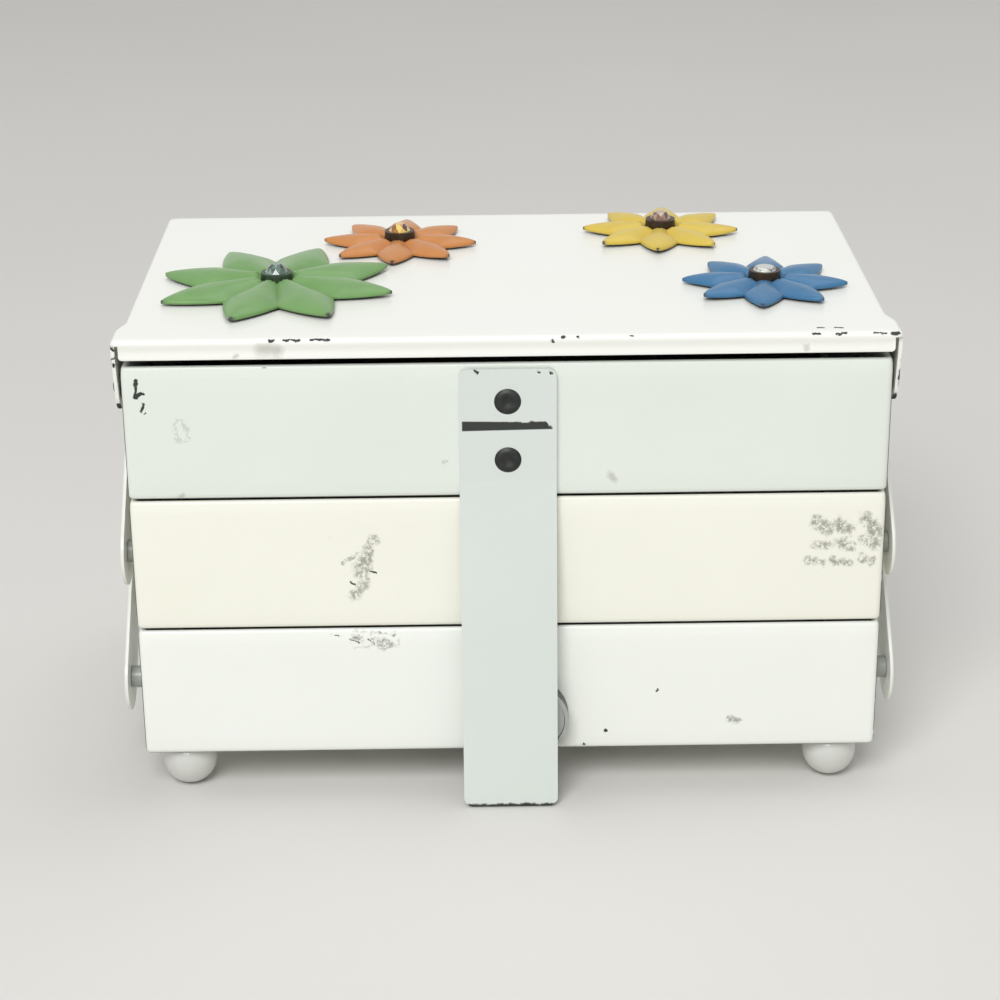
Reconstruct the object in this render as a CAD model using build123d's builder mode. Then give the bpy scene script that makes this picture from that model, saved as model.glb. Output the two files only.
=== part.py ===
from build123d import *
import math
import os

os.makedirs("parts", exist_ok=True)

# Three-tier accordion jewelry box in painted sheet steel, closed and standing on its feet.
# X runs along the box, +Y away from the side that carries the support leg, +Z up, in millimetres.
# The origin is on the floor, in the middle of the box's outline.

# Trays: three equal folded pans, stacked.
tray_width = 165.0
tray_depth = 97.0
tray_height = 30.5
sheet = 0.8
bend_radius = 1.5
corner_radius = 1.4
hem_depth = 3.2
hem_thickness = 0.7
hem_corner_radius = 3.0
rim_chamfer = 0.45
tray_gap = 0.4

# Feet: balls with a flat on top, each held by a screw from inside the bottom tray.
foot_diameter = 12.2
foot_height = 10.0
foot_floor_flat = 3.0
foot_inset_side = 9.2
foot_inset_end = 7.2
screw_shank = 2.6
screw_depth = 6.0
screw_head = 5.6
screw_head_height = 1.1
screw_head_chamfer = 0.4
screw_slot_width = 0.9
screw_slot_depth = 0.5

# Felt linings lie on the tray floors.
lining_thickness = 1.2
lining_clearance = 0.6
lining_corner = 3.0
soft_gap = 0.3

# Accordion arms: flat bars with round ends, four between each pair of trays.
pivot_height = 15.5
pivot_inset = 8.8
pivot_spacing = 46.5
arm_reach = 31.0
arm_width = 15.0
arm_thickness = 0.8
arm_edge_chamfer = 0.25
arm_standoff = 2.0
arm_layer_gap = 0.3
pivot_diameter = 3.0
running_clearance = 0.06
fixed_clearance = 0.03
axial_clearance = 0.1
spacer_diameter = 5.0
rivet_head = 4.8
rivet_head_height = 0.9
rivet_tail = 4.2
rivet_tail_height = 0.8

# Lid: a folded pan turned over, with ears that reach down to its pivots on the leg side.
lid_side_inset = 0.1
lid_front_overhang = 1.2
lid_rear_overhang = 0.4
lid_seat_gap = 0.3
lid_flange = 6.0
lid_front_flange = 4.4
lid_corner_radius = 2.0
lid_edge_radius = 0.9
lid_corner_relief = 1.4
ear_zone = 15.0
ear_standoff = 0.7
ear_radius = 5.0
ear_front_inset = 0.4
ear_overlap = 0.8
front_cut_depth = 3.2
corner_cut_depth = 1.9
lid_pivot_drop = 6.3
lid_pivot_inset = 7.0
collar_diameter = 5.4

# Support leg: a strap riveted to the top tray, which leans out past the catch magnet.
leg_width = 21.0
leg_thickness = 1.2
leg_offset = 0.0
leg_top_drop = 0.9
leg_bend_drop = 26.3
leg_floor_gap = 0.3
leg_corner_radius = 2.0
leg_bend_radius = 8.0
leg_rivet_drops = (8.2, 21.5)
leg_rivet_head = 5.8
leg_rivet_head_height = 1.2
leg_rivet_dish = 0.4
leg_rivet_dish_diameter = 3.0
leg_rivet_dish_taper = 35
leg_rivet_diameter = 3.2

# Catch magnet: a disc in a steel cup, riveted to the bottom tray behind the leg.
magnet_cup_diameter = 16.6
magnet_cup_height = 4.3
magnet_cup_wall = 0.9
magnet_recess = 0.3
magnet_ring_gap = 0.1
magnet_offset = 4.8
magnet_centre_height = 9.4
magnet_gap = 0.3
magnet_rivet_diameter = 3.0
magnet_rivet_head = 4.8

# Flowers: pressed sheet, eight petals each, pinned to the lid by a post under the jewel.
# Their undersides stand clear of the lid round the hub. The petal's form is given as shares of the
# flower's radius: (along the petal, across or up).
petal_count = 8
petal_lift = 0.5
petal_edge = 1.1
petal_root = (0.10, 0.045)
petal_belly = (0.56, 0.232)
petal_crown = (0.55, 0.06)
petal_spindle_depth = 0.5
flower_hub_height = 1.5
flower_hub_margin = 0.3
post_diameter = 2.0
setting_diameter = 7.4
setting_wall = 0.5
setting_floor = 0.6
setting_height = 2.2
post_cap_diameter = 5.0
post_cap_height = 0.9
jewel_fit = 0.05

# Heights of the stack, from the floor up.
tray_pitch = tray_height + tray_gap
bottom_z = foot_height
middle_z = bottom_z + tray_pitch
top_z = middle_z + tray_pitch
rim_z = top_z + tray_height
lid_top_z = rim_z + lid_seat_gap + lid_flange

# The leg's lean: it clears the upper edge of the magnet's face by the magnet gap.
leg_bend_z = rim_z - leg_bend_drop
magnet_z = bottom_z + magnet_centre_height
magnet_top_z = magnet_z + magnet_cup_diameter / 2
leg_lean = math.atan2(magnet_cup_height + magnet_gap, leg_bend_z - magnet_top_z)
leg_foot_inner = (leg_bend_z - leg_floor_gap) * math.tan(leg_lean)
leg_slant = leg_thickness / math.cos(leg_lean)
leg_reach = leg_foot_inner + leg_slant

# Places across the box: the outline runs from the leg's foot to the back edge of the lid.
tray_front = (leg_reach - tray_depth - lid_rear_overhang) / 2
tray_back = tray_front + tray_depth
tray_middle = (tray_front + tray_back) / 2
lid_front = tray_front - lid_front_overhang
lid_back = tray_back + lid_rear_overhang
lid_depth = lid_back - lid_front
lid_width = tray_width - 2 * lid_side_inset
wall_x = tray_width / 2

# The two planes that the arms swing in: the upper pair nearer the wall, the lower pair outside it.
upper_arm_x = wall_x + arm_standoff
lower_arm_x = upper_arm_x + arm_thickness + arm_layer_gap
front_pivot_y = tray_front + pivot_inset
lower_pivots = (front_pivot_y, front_pivot_y + pivot_spacing)
upper_pivots = tuple(y + arm_reach for y in lower_pivots)
arm_length = math.hypot(arm_reach, tray_pitch)
arm_angle = math.degrees(math.atan2(tray_pitch, arm_reach))

lid_pivot_y = tray_front + lid_pivot_inset
lid_pivot_z = rim_z - lid_pivot_drop
ear_x = wall_x + ear_standoff

leg_rivet_z = [rim_z - drop for drop in leg_rivet_drops]
foot_x = wall_x - foot_inset_side
foot_y = tray_depth / 2 - foot_inset_end
foot_places = [(sx * foot_x, sy * foot_y) for sx in (-1, 1) for sy in (-1, 1)]
sides = {"left": -1, "right": 1}


def side_plane(side, distance):
    """A plane square to X, facing out of the given side, whose sketch axes are Y and Z."""
    return Plane(origin=(side * distance, 0, 0), x_dir=(0, side, 0), z_dir=(side, 0, 0))


def on_side(side, y, z):
    """The sketch place of a point of the side plane."""
    return (side * y, z)


def save(part, name):
    """Label a finished piece and write it as one STEP file."""
    part.label = name
    export_step(part, f"parts/{name}.step")


def make_tray(base_z, pivots, extra_holes=()):
    """A folded pan: rounded lower bends, thin walls, an inward hem along the rim, pivot holes."""
    with BuildPart() as tray:
        with BuildSketch(Plane((0, tray_middle, base_z))):
            RectangleRounded(tray_width, tray_depth, corner_radius)
        extrude(amount=tray_height)
        fillet(tray.faces().sort_by(Axis.Z)[0].edges(), radius=bend_radius)
        offset(amount=-sheet, openings=tray.faces().sort_by(Axis.Z)[-1])
        with BuildSketch(Plane((0, tray_middle, base_z + tray_height - hem_depth))):
            inner = (tray_width - 2 * sheet, tray_depth - 2 * sheet)
            RectangleRounded(*inner, corner_radius - sheet)
            RectangleRounded(
                inner[0] - 2 * hem_thickness,
                inner[1] - 2 * hem_thickness,
                hem_corner_radius,
                mode=Mode.SUBTRACT,
            )
        extrude(amount=hem_depth)
        rim_edges = tray.faces().sort_by(Axis.Z)[-1].edges()
        chamfer(rim_edges, rim_chamfer)
        for side in sides.values():
            with BuildSketch(side_plane(side, wall_x + sheet)):
                for y in pivots:
                    with Locations(on_side(side, y, base_z + pivot_height)):
                        Circle(pivot_diameter / 2 + fixed_clearance)
            extrude(amount=-3 * sheet, mode=Mode.SUBTRACT)
        for plane, places, radius in extra_holes:
            with BuildSketch(plane):
                with Locations(*places):
                    Circle(radius)
            extrude(amount=-3 * sheet, mode=Mode.SUBTRACT)
    return tray.part


front_plane = Plane(origin=(0, tray_front - sheet, 0), x_dir=(1, 0, 0), z_dir=(0, -1, 0))
floor_plane = Plane((0, tray_middle, bottom_z + 2 * sheet))
magnet_hole = (front_plane, [(magnet_offset, magnet_z)], magnet_rivet_diameter / 2 + fixed_clearance)
screw_holes = (floor_plane, foot_places, screw_shank / 2 + fixed_clearance)
leg_holes = (
    front_plane,
    [(leg_offset, z) for z in leg_rivet_z],
    leg_rivet_diameter / 2 + fixed_clearance,
)
lid_holes = [
    (
        side_plane(side, wall_x + sheet),
        [on_side(side, lid_pivot_y, lid_pivot_z)],
        pivot_diameter / 2 + fixed_clearance,
    )
    for side in sides.values()
]

bottom_tray = make_tray(bottom_z, lower_pivots, [magnet_hole, screw_holes])
middle_tray = make_tray(middle_z, lower_pivots + upper_pivots)
top_tray = make_tray(top_z, upper_pivots, [leg_holes] + lid_holes)
save(bottom_tray, "bottom_tray")
save(middle_tray, "middle_tray")
save(top_tray, "top_tray")


def make_lining(base_z, holes=()):
    """A felt sheet cut to the tray's floor, with holes where screws pass."""
    floor_z = base_z + sheet + soft_gap
    inset = sheet + lining_clearance + bend_radius
    with BuildPart() as lining:
        with BuildSketch(Plane((0, tray_middle, floor_z))):
            RectangleRounded(tray_width - 2 * inset, tray_depth - 2 * inset, lining_corner)
            if holes:
                with Locations(*holes):
                    Circle(screw_shank / 2 + soft_gap, mode=Mode.SUBTRACT)
        extrude(amount=lining_thickness)
    return lining.part


save(make_lining(bottom_z, foot_places), "bottom_lining")
save(make_lining(middle_z), "middle_lining")
save(make_lining(top_z), "top_lining")


# Ball feet, with a flat on top against the tray and a small flat on the floor.
foot_radius = foot_diameter / 2
foot_centre_z = math.sqrt(foot_radius**2 - (foot_floor_flat / 2) ** 2)
foot_top_radius = math.sqrt(foot_radius**2 - (foot_height - foot_centre_z) ** 2)
screw_hole_radius = screw_shank / 2 + fixed_clearance
with BuildPart() as foot:
    with BuildSketch(Plane.XZ):
        with BuildLine():
            floor_edge = (foot_floor_flat / 2, 0)
            top_edge = (foot_top_radius, foot_height)
            Line((0, 0), floor_edge)
            ThreePointArc(floor_edge, (foot_radius, foot_centre_z), top_edge)
            Line(top_edge, (screw_hole_radius, foot_height))
            Line((screw_hole_radius, foot_height), (screw_hole_radius, foot_height - screw_depth))
            Line((screw_hole_radius, foot_height - screw_depth), (0, foot_height - screw_depth))
            Line((0, foot_height - screw_depth), (0, 0))
        make_face()
    revolve(axis=Axis.Z)

with BuildPart(Plane((0, tray_middle, 0))) as feet:
    with Locations(*foot_places):
        add(foot.part)
save(feet.part, "feet")

# One screw down into each foot, its slotted head on the felt.
lining_top_z = bottom_z + sheet + soft_gap + lining_thickness
with BuildPart(Plane((0, tray_middle, 0))) as foot_screws:
    with BuildSketch(Plane((0, tray_middle, lining_top_z))):
        with Locations(*foot_places):
            Circle(screw_head / 2)
    extrude(amount=screw_head_height)
    chamfer(foot_screws.faces().filter_by(Axis.Z).group_by(Axis.Z)[-1].edges(), screw_head_chamfer)
    with BuildSketch(Plane((0, tray_middle, lining_top_z))):
        with Locations(*foot_places):
            Circle(screw_shank / 2)
    extrude(amount=-(lining_top_z - foot_height + screw_depth - soft_gap))
    with BuildSketch(Plane((0, tray_middle, lining_top_z + screw_head_height))):
        with Locations(*foot_places):
            Rectangle(screw_head, screw_slot_width)
    extrude(amount=-screw_slot_depth, mode=Mode.SUBTRACT)
save(foot_screws.part, "foot_screws")


def make_arm(side, inner_x, y, z):
    """A flat bar from its lower pivot up and back to its upper one, with round ends."""
    middle = on_side(side, y + arm_reach / 2, z + tray_pitch / 2)
    ends = [on_side(side, y, z), on_side(side, y + arm_reach, z + tray_pitch)]
    with BuildPart() as arm:
        with BuildSketch(side_plane(side, inner_x)):
            with Locations(middle):
                SlotCenterToCenter(arm_length, arm_width, rotation=side * arm_angle)
            with Locations(*ends):
                Circle(pivot_diameter / 2 + running_clearance, mode=Mode.SUBTRACT)
        extrude(amount=arm_thickness)
        outer = arm.faces().sort_by(Axis.X)[-1 if side > 0 else 0]
        chamfer(outer.outer_wire().edges(), arm_edge_chamfer)
    return arm.part


for level, inner_x, base_z in (("lower", lower_arm_x, bottom_z), ("upper", upper_arm_x, middle_z)):
    for side_name, side in sides.items():
        for end_name, y in zip(("front", "rear"), lower_pivots):
            arm = make_arm(side, inner_x, y, base_z + pivot_height)
            save(arm, f"{level}_arm_{side_name}_{end_name}")


def make_rivet(shank_radius, grip, head_radius, head_height):
    """A rivet along +Z: its tail under Z = 0, its shank through the grip, a domed head beyond."""
    dome = (head_radius**2 + head_height**2) / (2 * head_height)
    half_angle = math.asin(head_radius / dome) / 2
    crown_z = grip + head_height
    arc_middle = (dome * math.sin(half_angle), crown_z - dome * (1 - math.cos(half_angle)))
    tail_radius = rivet_tail / 2
    with BuildPart() as rivet:
        with BuildSketch(Plane.XZ):
            with BuildLine():
                Polyline(
                    (0, crown_z),
                    (0, -rivet_tail_height),
                    (tail_radius, -rivet_tail_height),
                    (tail_radius, 0),
                    (shank_radius, 0),
                    (shank_radius, grip),
                    (head_radius, grip),
                )
                ThreePointArc((head_radius, grip), arc_middle, (0, crown_z))
            make_face()
        revolve(axis=Axis.Z)
    return rivet.part


def make_pivot_rivets(places, arm_inner_x):
    """Rivets through the tray wall, a spacer and an arm, one at each place on both sides."""
    inner_x = wall_x - sheet
    grip = arm_inner_x + arm_thickness + axial_clearance - inner_x
    rivet = make_rivet(pivot_diameter / 2, grip, rivet_head / 2, rivet_head_height)
    with BuildPart(side_plane(1, inner_x)) as rivets:
        with Locations(*[on_side(1, y, z) for y, z in places]):
            add(rivet)
        mirror(about=Plane.YZ)
    return rivets.part


def make_spacers(places, arm_inner_x):
    """Tubes that hold an arm off the tray wall."""
    with BuildPart() as spacers:
        for side in sides.values():
            with BuildSketch(side_plane(side, wall_x)):
                with Locations(*[on_side(side, y, z) for y, z in places]):
                    Circle(spacer_diameter / 2)
                    Circle(pivot_diameter / 2 + fixed_clearance, mode=Mode.SUBTRACT)
            extrude(amount=arm_inner_x - axial_clearance - wall_x)
    return spacers.part


def pivot_places(ys, base_z):
    return [(y, base_z + pivot_height) for y in ys]


bottom_places = pivot_places(lower_pivots, bottom_z)
middle_low_places = pivot_places(upper_pivots, middle_z)
middle_high_places = pivot_places(lower_pivots, middle_z)
top_places = pivot_places(upper_pivots, top_z)
save(make_pivot_rivets(bottom_places, lower_arm_x), "bottom_pivot_rivets")
save(make_spacers(bottom_places, lower_arm_x), "bottom_spacers")
save(make_pivot_rivets(middle_low_places, lower_arm_x), "middle_rivets_lower_arms")
save(make_spacers(middle_low_places, lower_arm_x), "middle_spacers_lower_arms")
save(make_pivot_rivets(middle_high_places, upper_arm_x), "middle_rivets_upper_arms")
save(make_spacers(middle_high_places, upper_arm_x), "middle_spacers_upper_arms")
save(make_pivot_rivets(top_places, upper_arm_x), "top_pivot_rivets")
save(make_spacers(top_places, upper_arm_x), "top_spacers")


# Lid shell: top sheet and four flanges. The sides step out round the ears at the leg side.
lid_middle = (lid_front + lid_back) / 2
lid_flange_z = lid_top_z - lid_flange
lid_front_flange_z = lid_top_z - lid_front_flange
ear_outer_x = ear_x + sheet
ear_front_y = lid_front + ear_front_inset
ear_rear_y = lid_front + ear_zone - sheet
ear_shoulder_z = lid_flange_z + ear_overlap
# Each flower: the end of the lid that it is nearer to (-1 left, 1 right), its middle's distances from
# that end and from the trays' front, its radius and its turn in degrees.
flower_layout = {
    "green": (-1, 31.2, 36.6, 27.2, 27.6),
    "orange": (-1, 58.0, 70.0, 18.8, -4.6),
    "yellow": (1, 44.3, 78.0, 19.3, -5.6),
    "blue": (1, 24.1, 34.0, 19.1, -7.2),
}
flower_places = {
    colour: (end * (lid_width / 2 - inset), from_front, radius, turn)
    for colour, (end, inset, from_front, radius, turn) in flower_layout.items()
}

with BuildPart() as lid:
    with BuildSketch(Plane((0, lid_middle, lid_flange_z))):
        RectangleRounded(lid_width, lid_depth, lid_corner_radius)
        with Locations((0, (ear_zone - lid_depth) / 2)):
            Rectangle(2 * ear_outer_x, ear_zone)
    extrude(amount=lid_flange)
    upper_edges = lid.faces().sort_by(Axis.Z)[-1].edges()
    fillet(upper_edges, radius=lid_edge_radius)
    offset(amount=-sheet, openings=lid.faces().sort_by(Axis.Z)[0])
    # The front flange is shorter than the others, so that the lid can turn past the tray's rim.
    with BuildSketch(Plane((0, lid_front, lid_flange_z))):
        Rectangle(2 * ear_outer_x, 2 * front_cut_depth)
    extrude(amount=lid_front_flange_z - lid_flange_z, mode=Mode.SUBTRACT)
    # Ears: the side flanges run down to a round end about the lid's pivot.
    for side in sides.values():
        with BuildSketch(side_plane(side, ear_x)):
            with BuildLine():
                ear_bottom = on_side(side, lid_pivot_y, lid_pivot_z)
                ear_front = on_side(side, lid_pivot_y - ear_radius, lid_pivot_z)
                ear_rear = on_side(side, lid_pivot_y + ear_radius, lid_pivot_z)
                shoulder_front = on_side(side, ear_front_y, ear_shoulder_z)
                shoulder_rear = on_side(side, ear_rear_y, ear_shoulder_z)
                top_front = on_side(side, ear_front_y, lid_top_z - lid_edge_radius)
                top_rear = on_side(side, ear_rear_y, lid_top_z - lid_edge_radius)
                Line(ear_front, shoulder_front)
                Line(shoulder_front, top_front)
                Line(top_front, top_rear)
                Line(top_rear, shoulder_rear)
                Line(shoulder_rear, ear_rear)
                ThreePointArc(
                    ear_rear, on_side(side, lid_pivot_y, lid_pivot_z - ear_radius), ear_front
                )
            make_face()
            with Locations(ear_bottom):
                Circle(pivot_diameter / 2 + running_clearance, mode=Mode.SUBTRACT)
        extrude(amount=sheet)
    # Open corners between the front flange and the ears.
    for side in sides.values():
        with BuildSketch(Plane((side * (ear_x - lid_corner_relief / 2), lid_front, lid_flange_z))):
            Rectangle(lid_corner_relief, corner_cut_depth)
        extrude(amount=lid_flange - lid_edge_radius, mode=Mode.SUBTRACT)
    # Holes for the posts that hold the flowers.
    with BuildSketch(Plane((0, tray_front, lid_top_z))):
        with Locations(*[(x, y) for x, y, _, _ in flower_places.values()]):
            Circle(post_diameter / 2 + fixed_clearance)
    extrude(amount=-2 * sheet, mode=Mode.SUBTRACT)
save(lid.part, "lid")

# Lid pivots: rivets with a collar between the tray wall and the ear.
lid_rivet_grip = ear_outer_x + axial_clearance - (wall_x - sheet)
lid_rivet = make_rivet(pivot_diameter / 2, lid_rivet_grip, rivet_head / 2, rivet_head_height)
with BuildPart(side_plane(1, wall_x - sheet)) as lid_pivot_rivets:
    with Locations(on_side(1, lid_pivot_y, lid_pivot_z)):
        add(lid_rivet)
    with BuildSketch(side_plane(1, wall_x)):
        with Locations(on_side(1, lid_pivot_y, lid_pivot_z)):
            Circle(collar_diameter / 2)
    extrude(amount=ear_standoff - axial_clearance)
    mirror(about=Plane.YZ)
save(lid_pivot_rivets.part, "lid_pivot_rivets")

# Support leg: flat on the top tray's wall, then one bend, then straight down and out to its foot.
leg_top_z = rim_z - leg_top_drop
bend_out = leg_thickness * math.tan(leg_lean / 2)
leg_side_plane = Plane(origin=(leg_offset, tray_front, 0), x_dir=(0, -1, 0), z_dir=(-1, 0, 0))
with BuildPart() as support_leg:
    with BuildSketch(leg_side_plane):
        with BuildLine():
            wall_side = FilletPolyline(
                (0, leg_top_z),
                (0, leg_bend_z),
                (leg_foot_inner, leg_floor_gap),
                radius=leg_bend_radius + leg_thickness,
            )
            room_side = FilletPolyline(
                (leg_foot_inner + leg_slant, leg_floor_gap),
                (leg_thickness, leg_bend_z + bend_out),
                (leg_thickness, leg_top_z),
                radius=leg_bend_radius,
            )
            Line(wall_side @ 1, room_side @ 0)
            Line(room_side @ 1, wall_side @ 0)
        make_face()
    extrude(amount=leg_width / 2, both=True)
    across = support_leg.edges().group_by(Axis.X)
    side_edges = across[0] + across[-1]
    corner_edges = side_edges.group_by(Axis.Z)[0] + side_edges.group_by(Axis.Z)[-1]
    fillet(corner_edges, radius=leg_corner_radius)
    with BuildSketch(front_plane.offset(leg_thickness)):
        with Locations(*[(leg_offset, z) for z in leg_rivet_z]):
            Circle(leg_rivet_diameter / 2 + fixed_clearance)
    extrude(amount=-2 * leg_thickness, mode=Mode.SUBTRACT)
save(support_leg.part, "support_leg")

# Leg rivets: low domes with a dished middle.
leg_rivet = make_rivet(
    leg_rivet_diameter / 2,
    leg_thickness + sheet,
    leg_rivet_head / 2,
    leg_rivet_head_height,
)
leg_rivet_crown = leg_thickness + sheet + leg_rivet_head_height
leg_rivet_plane = Plane(origin=(0, tray_front + sheet, 0), x_dir=(1, 0, 0), z_dir=(0, -1, 0))
with BuildPart(leg_rivet_plane) as leg_rivets:
    with Locations(*[(leg_offset, z) for z in leg_rivet_z]):
        add(leg_rivet)
    with BuildSketch(leg_rivet_plane.offset(leg_rivet_crown)):
        with Locations(*[(leg_offset, z) for z in leg_rivet_z]):
            Circle(leg_rivet_dish_diameter / 2)
    extrude(amount=-leg_rivet_dish, taper=leg_rivet_dish_taper, mode=Mode.SUBTRACT)
save(leg_rivets.part, "leg_rivets")

# Catch magnet: cup, ring magnet and rivet on the bottom tray's wall.
magnet_plane = Plane(origin=(magnet_offset, tray_front, magnet_z), x_dir=(1, 0, 0), z_dir=(0, -1, 0))
with BuildPart() as magnet_cup:
    with BuildSketch(magnet_plane):
        Circle(magnet_cup_diameter / 2)
    extrude(amount=magnet_cup_height)
    face_plane = magnet_plane.offset(magnet_cup_height)
    with BuildSketch(face_plane):
        Circle(magnet_cup_diameter / 2 - magnet_cup_wall)
    extrude(amount=-(magnet_cup_height - magnet_cup_wall), mode=Mode.SUBTRACT)
    with BuildSketch(face_plane):
        Circle(magnet_rivet_diameter / 2 + fixed_clearance)
    extrude(amount=-magnet_cup_height, mode=Mode.SUBTRACT)
save(magnet_cup.part, "magnet_cup")

with BuildPart() as catch_magnet:
    with BuildSketch(magnet_plane.offset(magnet_cup_wall)):
        Circle(magnet_cup_diameter / 2 - magnet_cup_wall - magnet_ring_gap)
        Circle(magnet_rivet_head / 2 + magnet_ring_gap, mode=Mode.SUBTRACT)
    extrude(amount=magnet_cup_height - magnet_cup_wall - magnet_recess)
save(catch_magnet.part, "catch_magnet")

with BuildPart() as magnet_rivet:
    with BuildSketch(magnet_plane.offset(-sheet)):
        Circle(magnet_rivet_diameter / 2)
    extrude(amount=sheet + magnet_cup_wall)
    with BuildSketch(magnet_plane.offset(magnet_cup_wall)):
        Circle(magnet_rivet_head / 2)
    extrude(amount=rivet_head_height)
    with BuildSketch(magnet_plane.offset(-sheet)):
        Circle(rivet_tail / 2)
    extrude(amount=-rivet_tail_height)
save(magnet_rivet.part, "magnet_rivet")


def make_petal(radius):
    """One petal: a pointed leaf cut from a spindle, so that it has a crowned ridge along its middle."""
    root_x, root_y = [share * radius for share in petal_root]
    belly_x, belly_y = [share * radius for share in petal_belly]
    crown_x, crown_rise = [share * radius for share in petal_crown]
    spindle_z = -petal_spindle_depth * radius
    with BuildPart() as petal:
        with BuildSketch(Plane.XY.offset(petal_lift)):
            with BuildLine():
                ThreePointArc((root_x, root_y), (belly_x, belly_y), (radius, 0))
                ThreePointArc((radius, 0), (belly_x, -belly_y), (root_x, -root_y))
                Line((root_x, -root_y), (root_x, root_y))
            make_face()
        extrude(amount=radius)
        with BuildSketch(Plane.XZ):
            with BuildLine():
                ThreePointArc(
                    (0, flower_hub_height),
                    (crown_x, petal_edge + crown_rise),
                    (radius, petal_edge),
                )
                Polyline(
                    (radius, petal_edge),
                    (radius, spindle_z),
                    (0, spindle_z),
                    (0, flower_hub_height),
                )
            make_face()
        revolve(axis=Axis((0, 0, spindle_z), (1, 0, 0)), mode=Mode.INTERSECT)
    return petal.part


def make_flower(x, y, radius, turn):
    """Eight petals round a flat hub, which carries the jewel's setting and takes its post."""
    flower_plane = Plane((x, tray_front + y, lid_top_z))
    hub_radius = setting_diameter / 2 + flower_hub_margin
    petal = make_petal(radius)
    with BuildPart(flower_plane) as flower:
        with PolarLocations(0, petal_count, start_angle=turn):
            add(petal)
        with BuildSketch(flower_plane):
            Circle(hub_radius)
        extrude(amount=flower_hub_height)
        with BuildSketch(flower_plane.offset(flower_hub_height)):
            Circle(hub_radius)
        extrude(amount=radius, mode=Mode.SUBTRACT)
        with BuildSketch(flower_plane):
            Circle(post_diameter / 2 + fixed_clearance)
        extrude(amount=flower_hub_height, mode=Mode.SUBTRACT)
    return flower.part


for colour, (x, y, radius, turn) in flower_places.items():
    save(make_flower(x, y, radius, turn), f"{colour}_flower")

# Jewel settings: cups with a post that passes through the flower and the lid.
setting_z = lid_top_z + flower_hub_height
post_bottom_z = lid_top_z - sheet - post_cap_height
post_places = [(x, tray_front + y) for x, y, _, _ in flower_places.values()]
with BuildPart() as jewel_settings:
    with BuildSketch(Plane.XY.offset(setting_z)):
        with Locations(*post_places):
            Circle(setting_diameter / 2)
    extrude(amount=setting_height, taper=6)
    with BuildSketch(Plane.XY.offset(setting_z + setting_floor)):
        with Locations(*post_places):
            Circle(setting_diameter / 2 - 2 * setting_wall)
    extrude(amount=setting_height, mode=Mode.SUBTRACT)
    with BuildSketch(Plane.XY.offset(post_bottom_z)):
        with Locations(*post_places):
            Circle(post_diameter / 2)
    extrude(amount=setting_z - post_bottom_z)
save(jewel_settings.part, "jewel_settings")

with BuildPart() as post_caps:
    with BuildSketch(Plane.XY.offset(lid_top_z - sheet)):
        with Locations(*post_places):
            Circle(post_cap_diameter / 2)
            Circle(post_diameter / 2 + fixed_clearance, mode=Mode.SUBTRACT)
    extrude(amount=-post_cap_height)
save(post_caps.part, "post_caps")


def make_jewel(x, y, side_count, table_ratio, crown, shoulder):
    """A cut stone: girdle in the cup, a ring of shoulder facets and a flat table."""
    seat_z = setting_z + setting_floor
    girdle = setting_diameter / 2 - 2 * setting_wall - jewel_fit
    rings = (
        (girdle, 0.0, 0.0),
        (girdle, setting_height - setting_floor, 0.0),
        (girdle * (1 + table_ratio) / 2, setting_height - setting_floor + crown * shoulder, 0.5),
        (girdle * table_ratio, setting_height - setting_floor + crown, 0.0),
    )
    points = []
    for ring_radius, height, half_step in rings:
        for k in range(side_count):
            angle = 2 * math.pi * (k + half_step) / side_count
            points.append(
                (
                    x + ring_radius * math.cos(angle),
                    tray_front + y + ring_radius * math.sin(angle),
                    seat_z + height,
                )
            )
    with BuildPart() as jewel:
        ConvexPolyhedron(points)
    return jewel.part


# Each stone's cut: the table's share of the girdle, the crown's height and the shoulder's share of it.
jewel_side_counts = {"green": 10, "orange": 8, "yellow": 6, "blue": 12}
jewel_cuts = {
    "green": (0.40, 1.9, 0.62),
    "orange": (0.45, 1.7, 0.60),
    "yellow": (0.55, 1.6, 0.58),
    "blue": (0.72, 0.7, 0.70),
}
for colour, cut in jewel_cuts.items():
    x, y, _, _ = flower_places[colour]
    save(make_jewel(x, y, jewel_side_counts[colour], *cut), f"{colour}_jewel")

print("lean of the leg, degrees:", round(math.degrees(leg_lean), 2))
print("arm swing, degrees:", round(2 * (90 - arm_angle), 2))
print("tray front:", round(tray_front, 3), "lid top:", round(lid_top_z, 3))
print("lower pivots:", lower_pivots, "upper pivots:", upper_pivots)
print("lid pivot:", round(lid_pivot_y, 3), round(lid_pivot_z, 3))
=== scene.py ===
# %% [markdown]
# # An accordion jewelry box in white enamel
# Three folded steel trays ride on swinging side arms, under a hinged lid with four enamelled flowers.
# The measured model comes in as a fixed frame, and this script gives it its looks: paint with its chips,
# pressed petals, dished rivets, cut stones and felt. Loading the frame comes first, because every new
# piece is placed by it, and its box is kept so that the finished piece can be compared with it at the
# end.

# %% Load the frame
import math

import bpy
import numpy as np
from mathutils import Matrix, Vector


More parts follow.
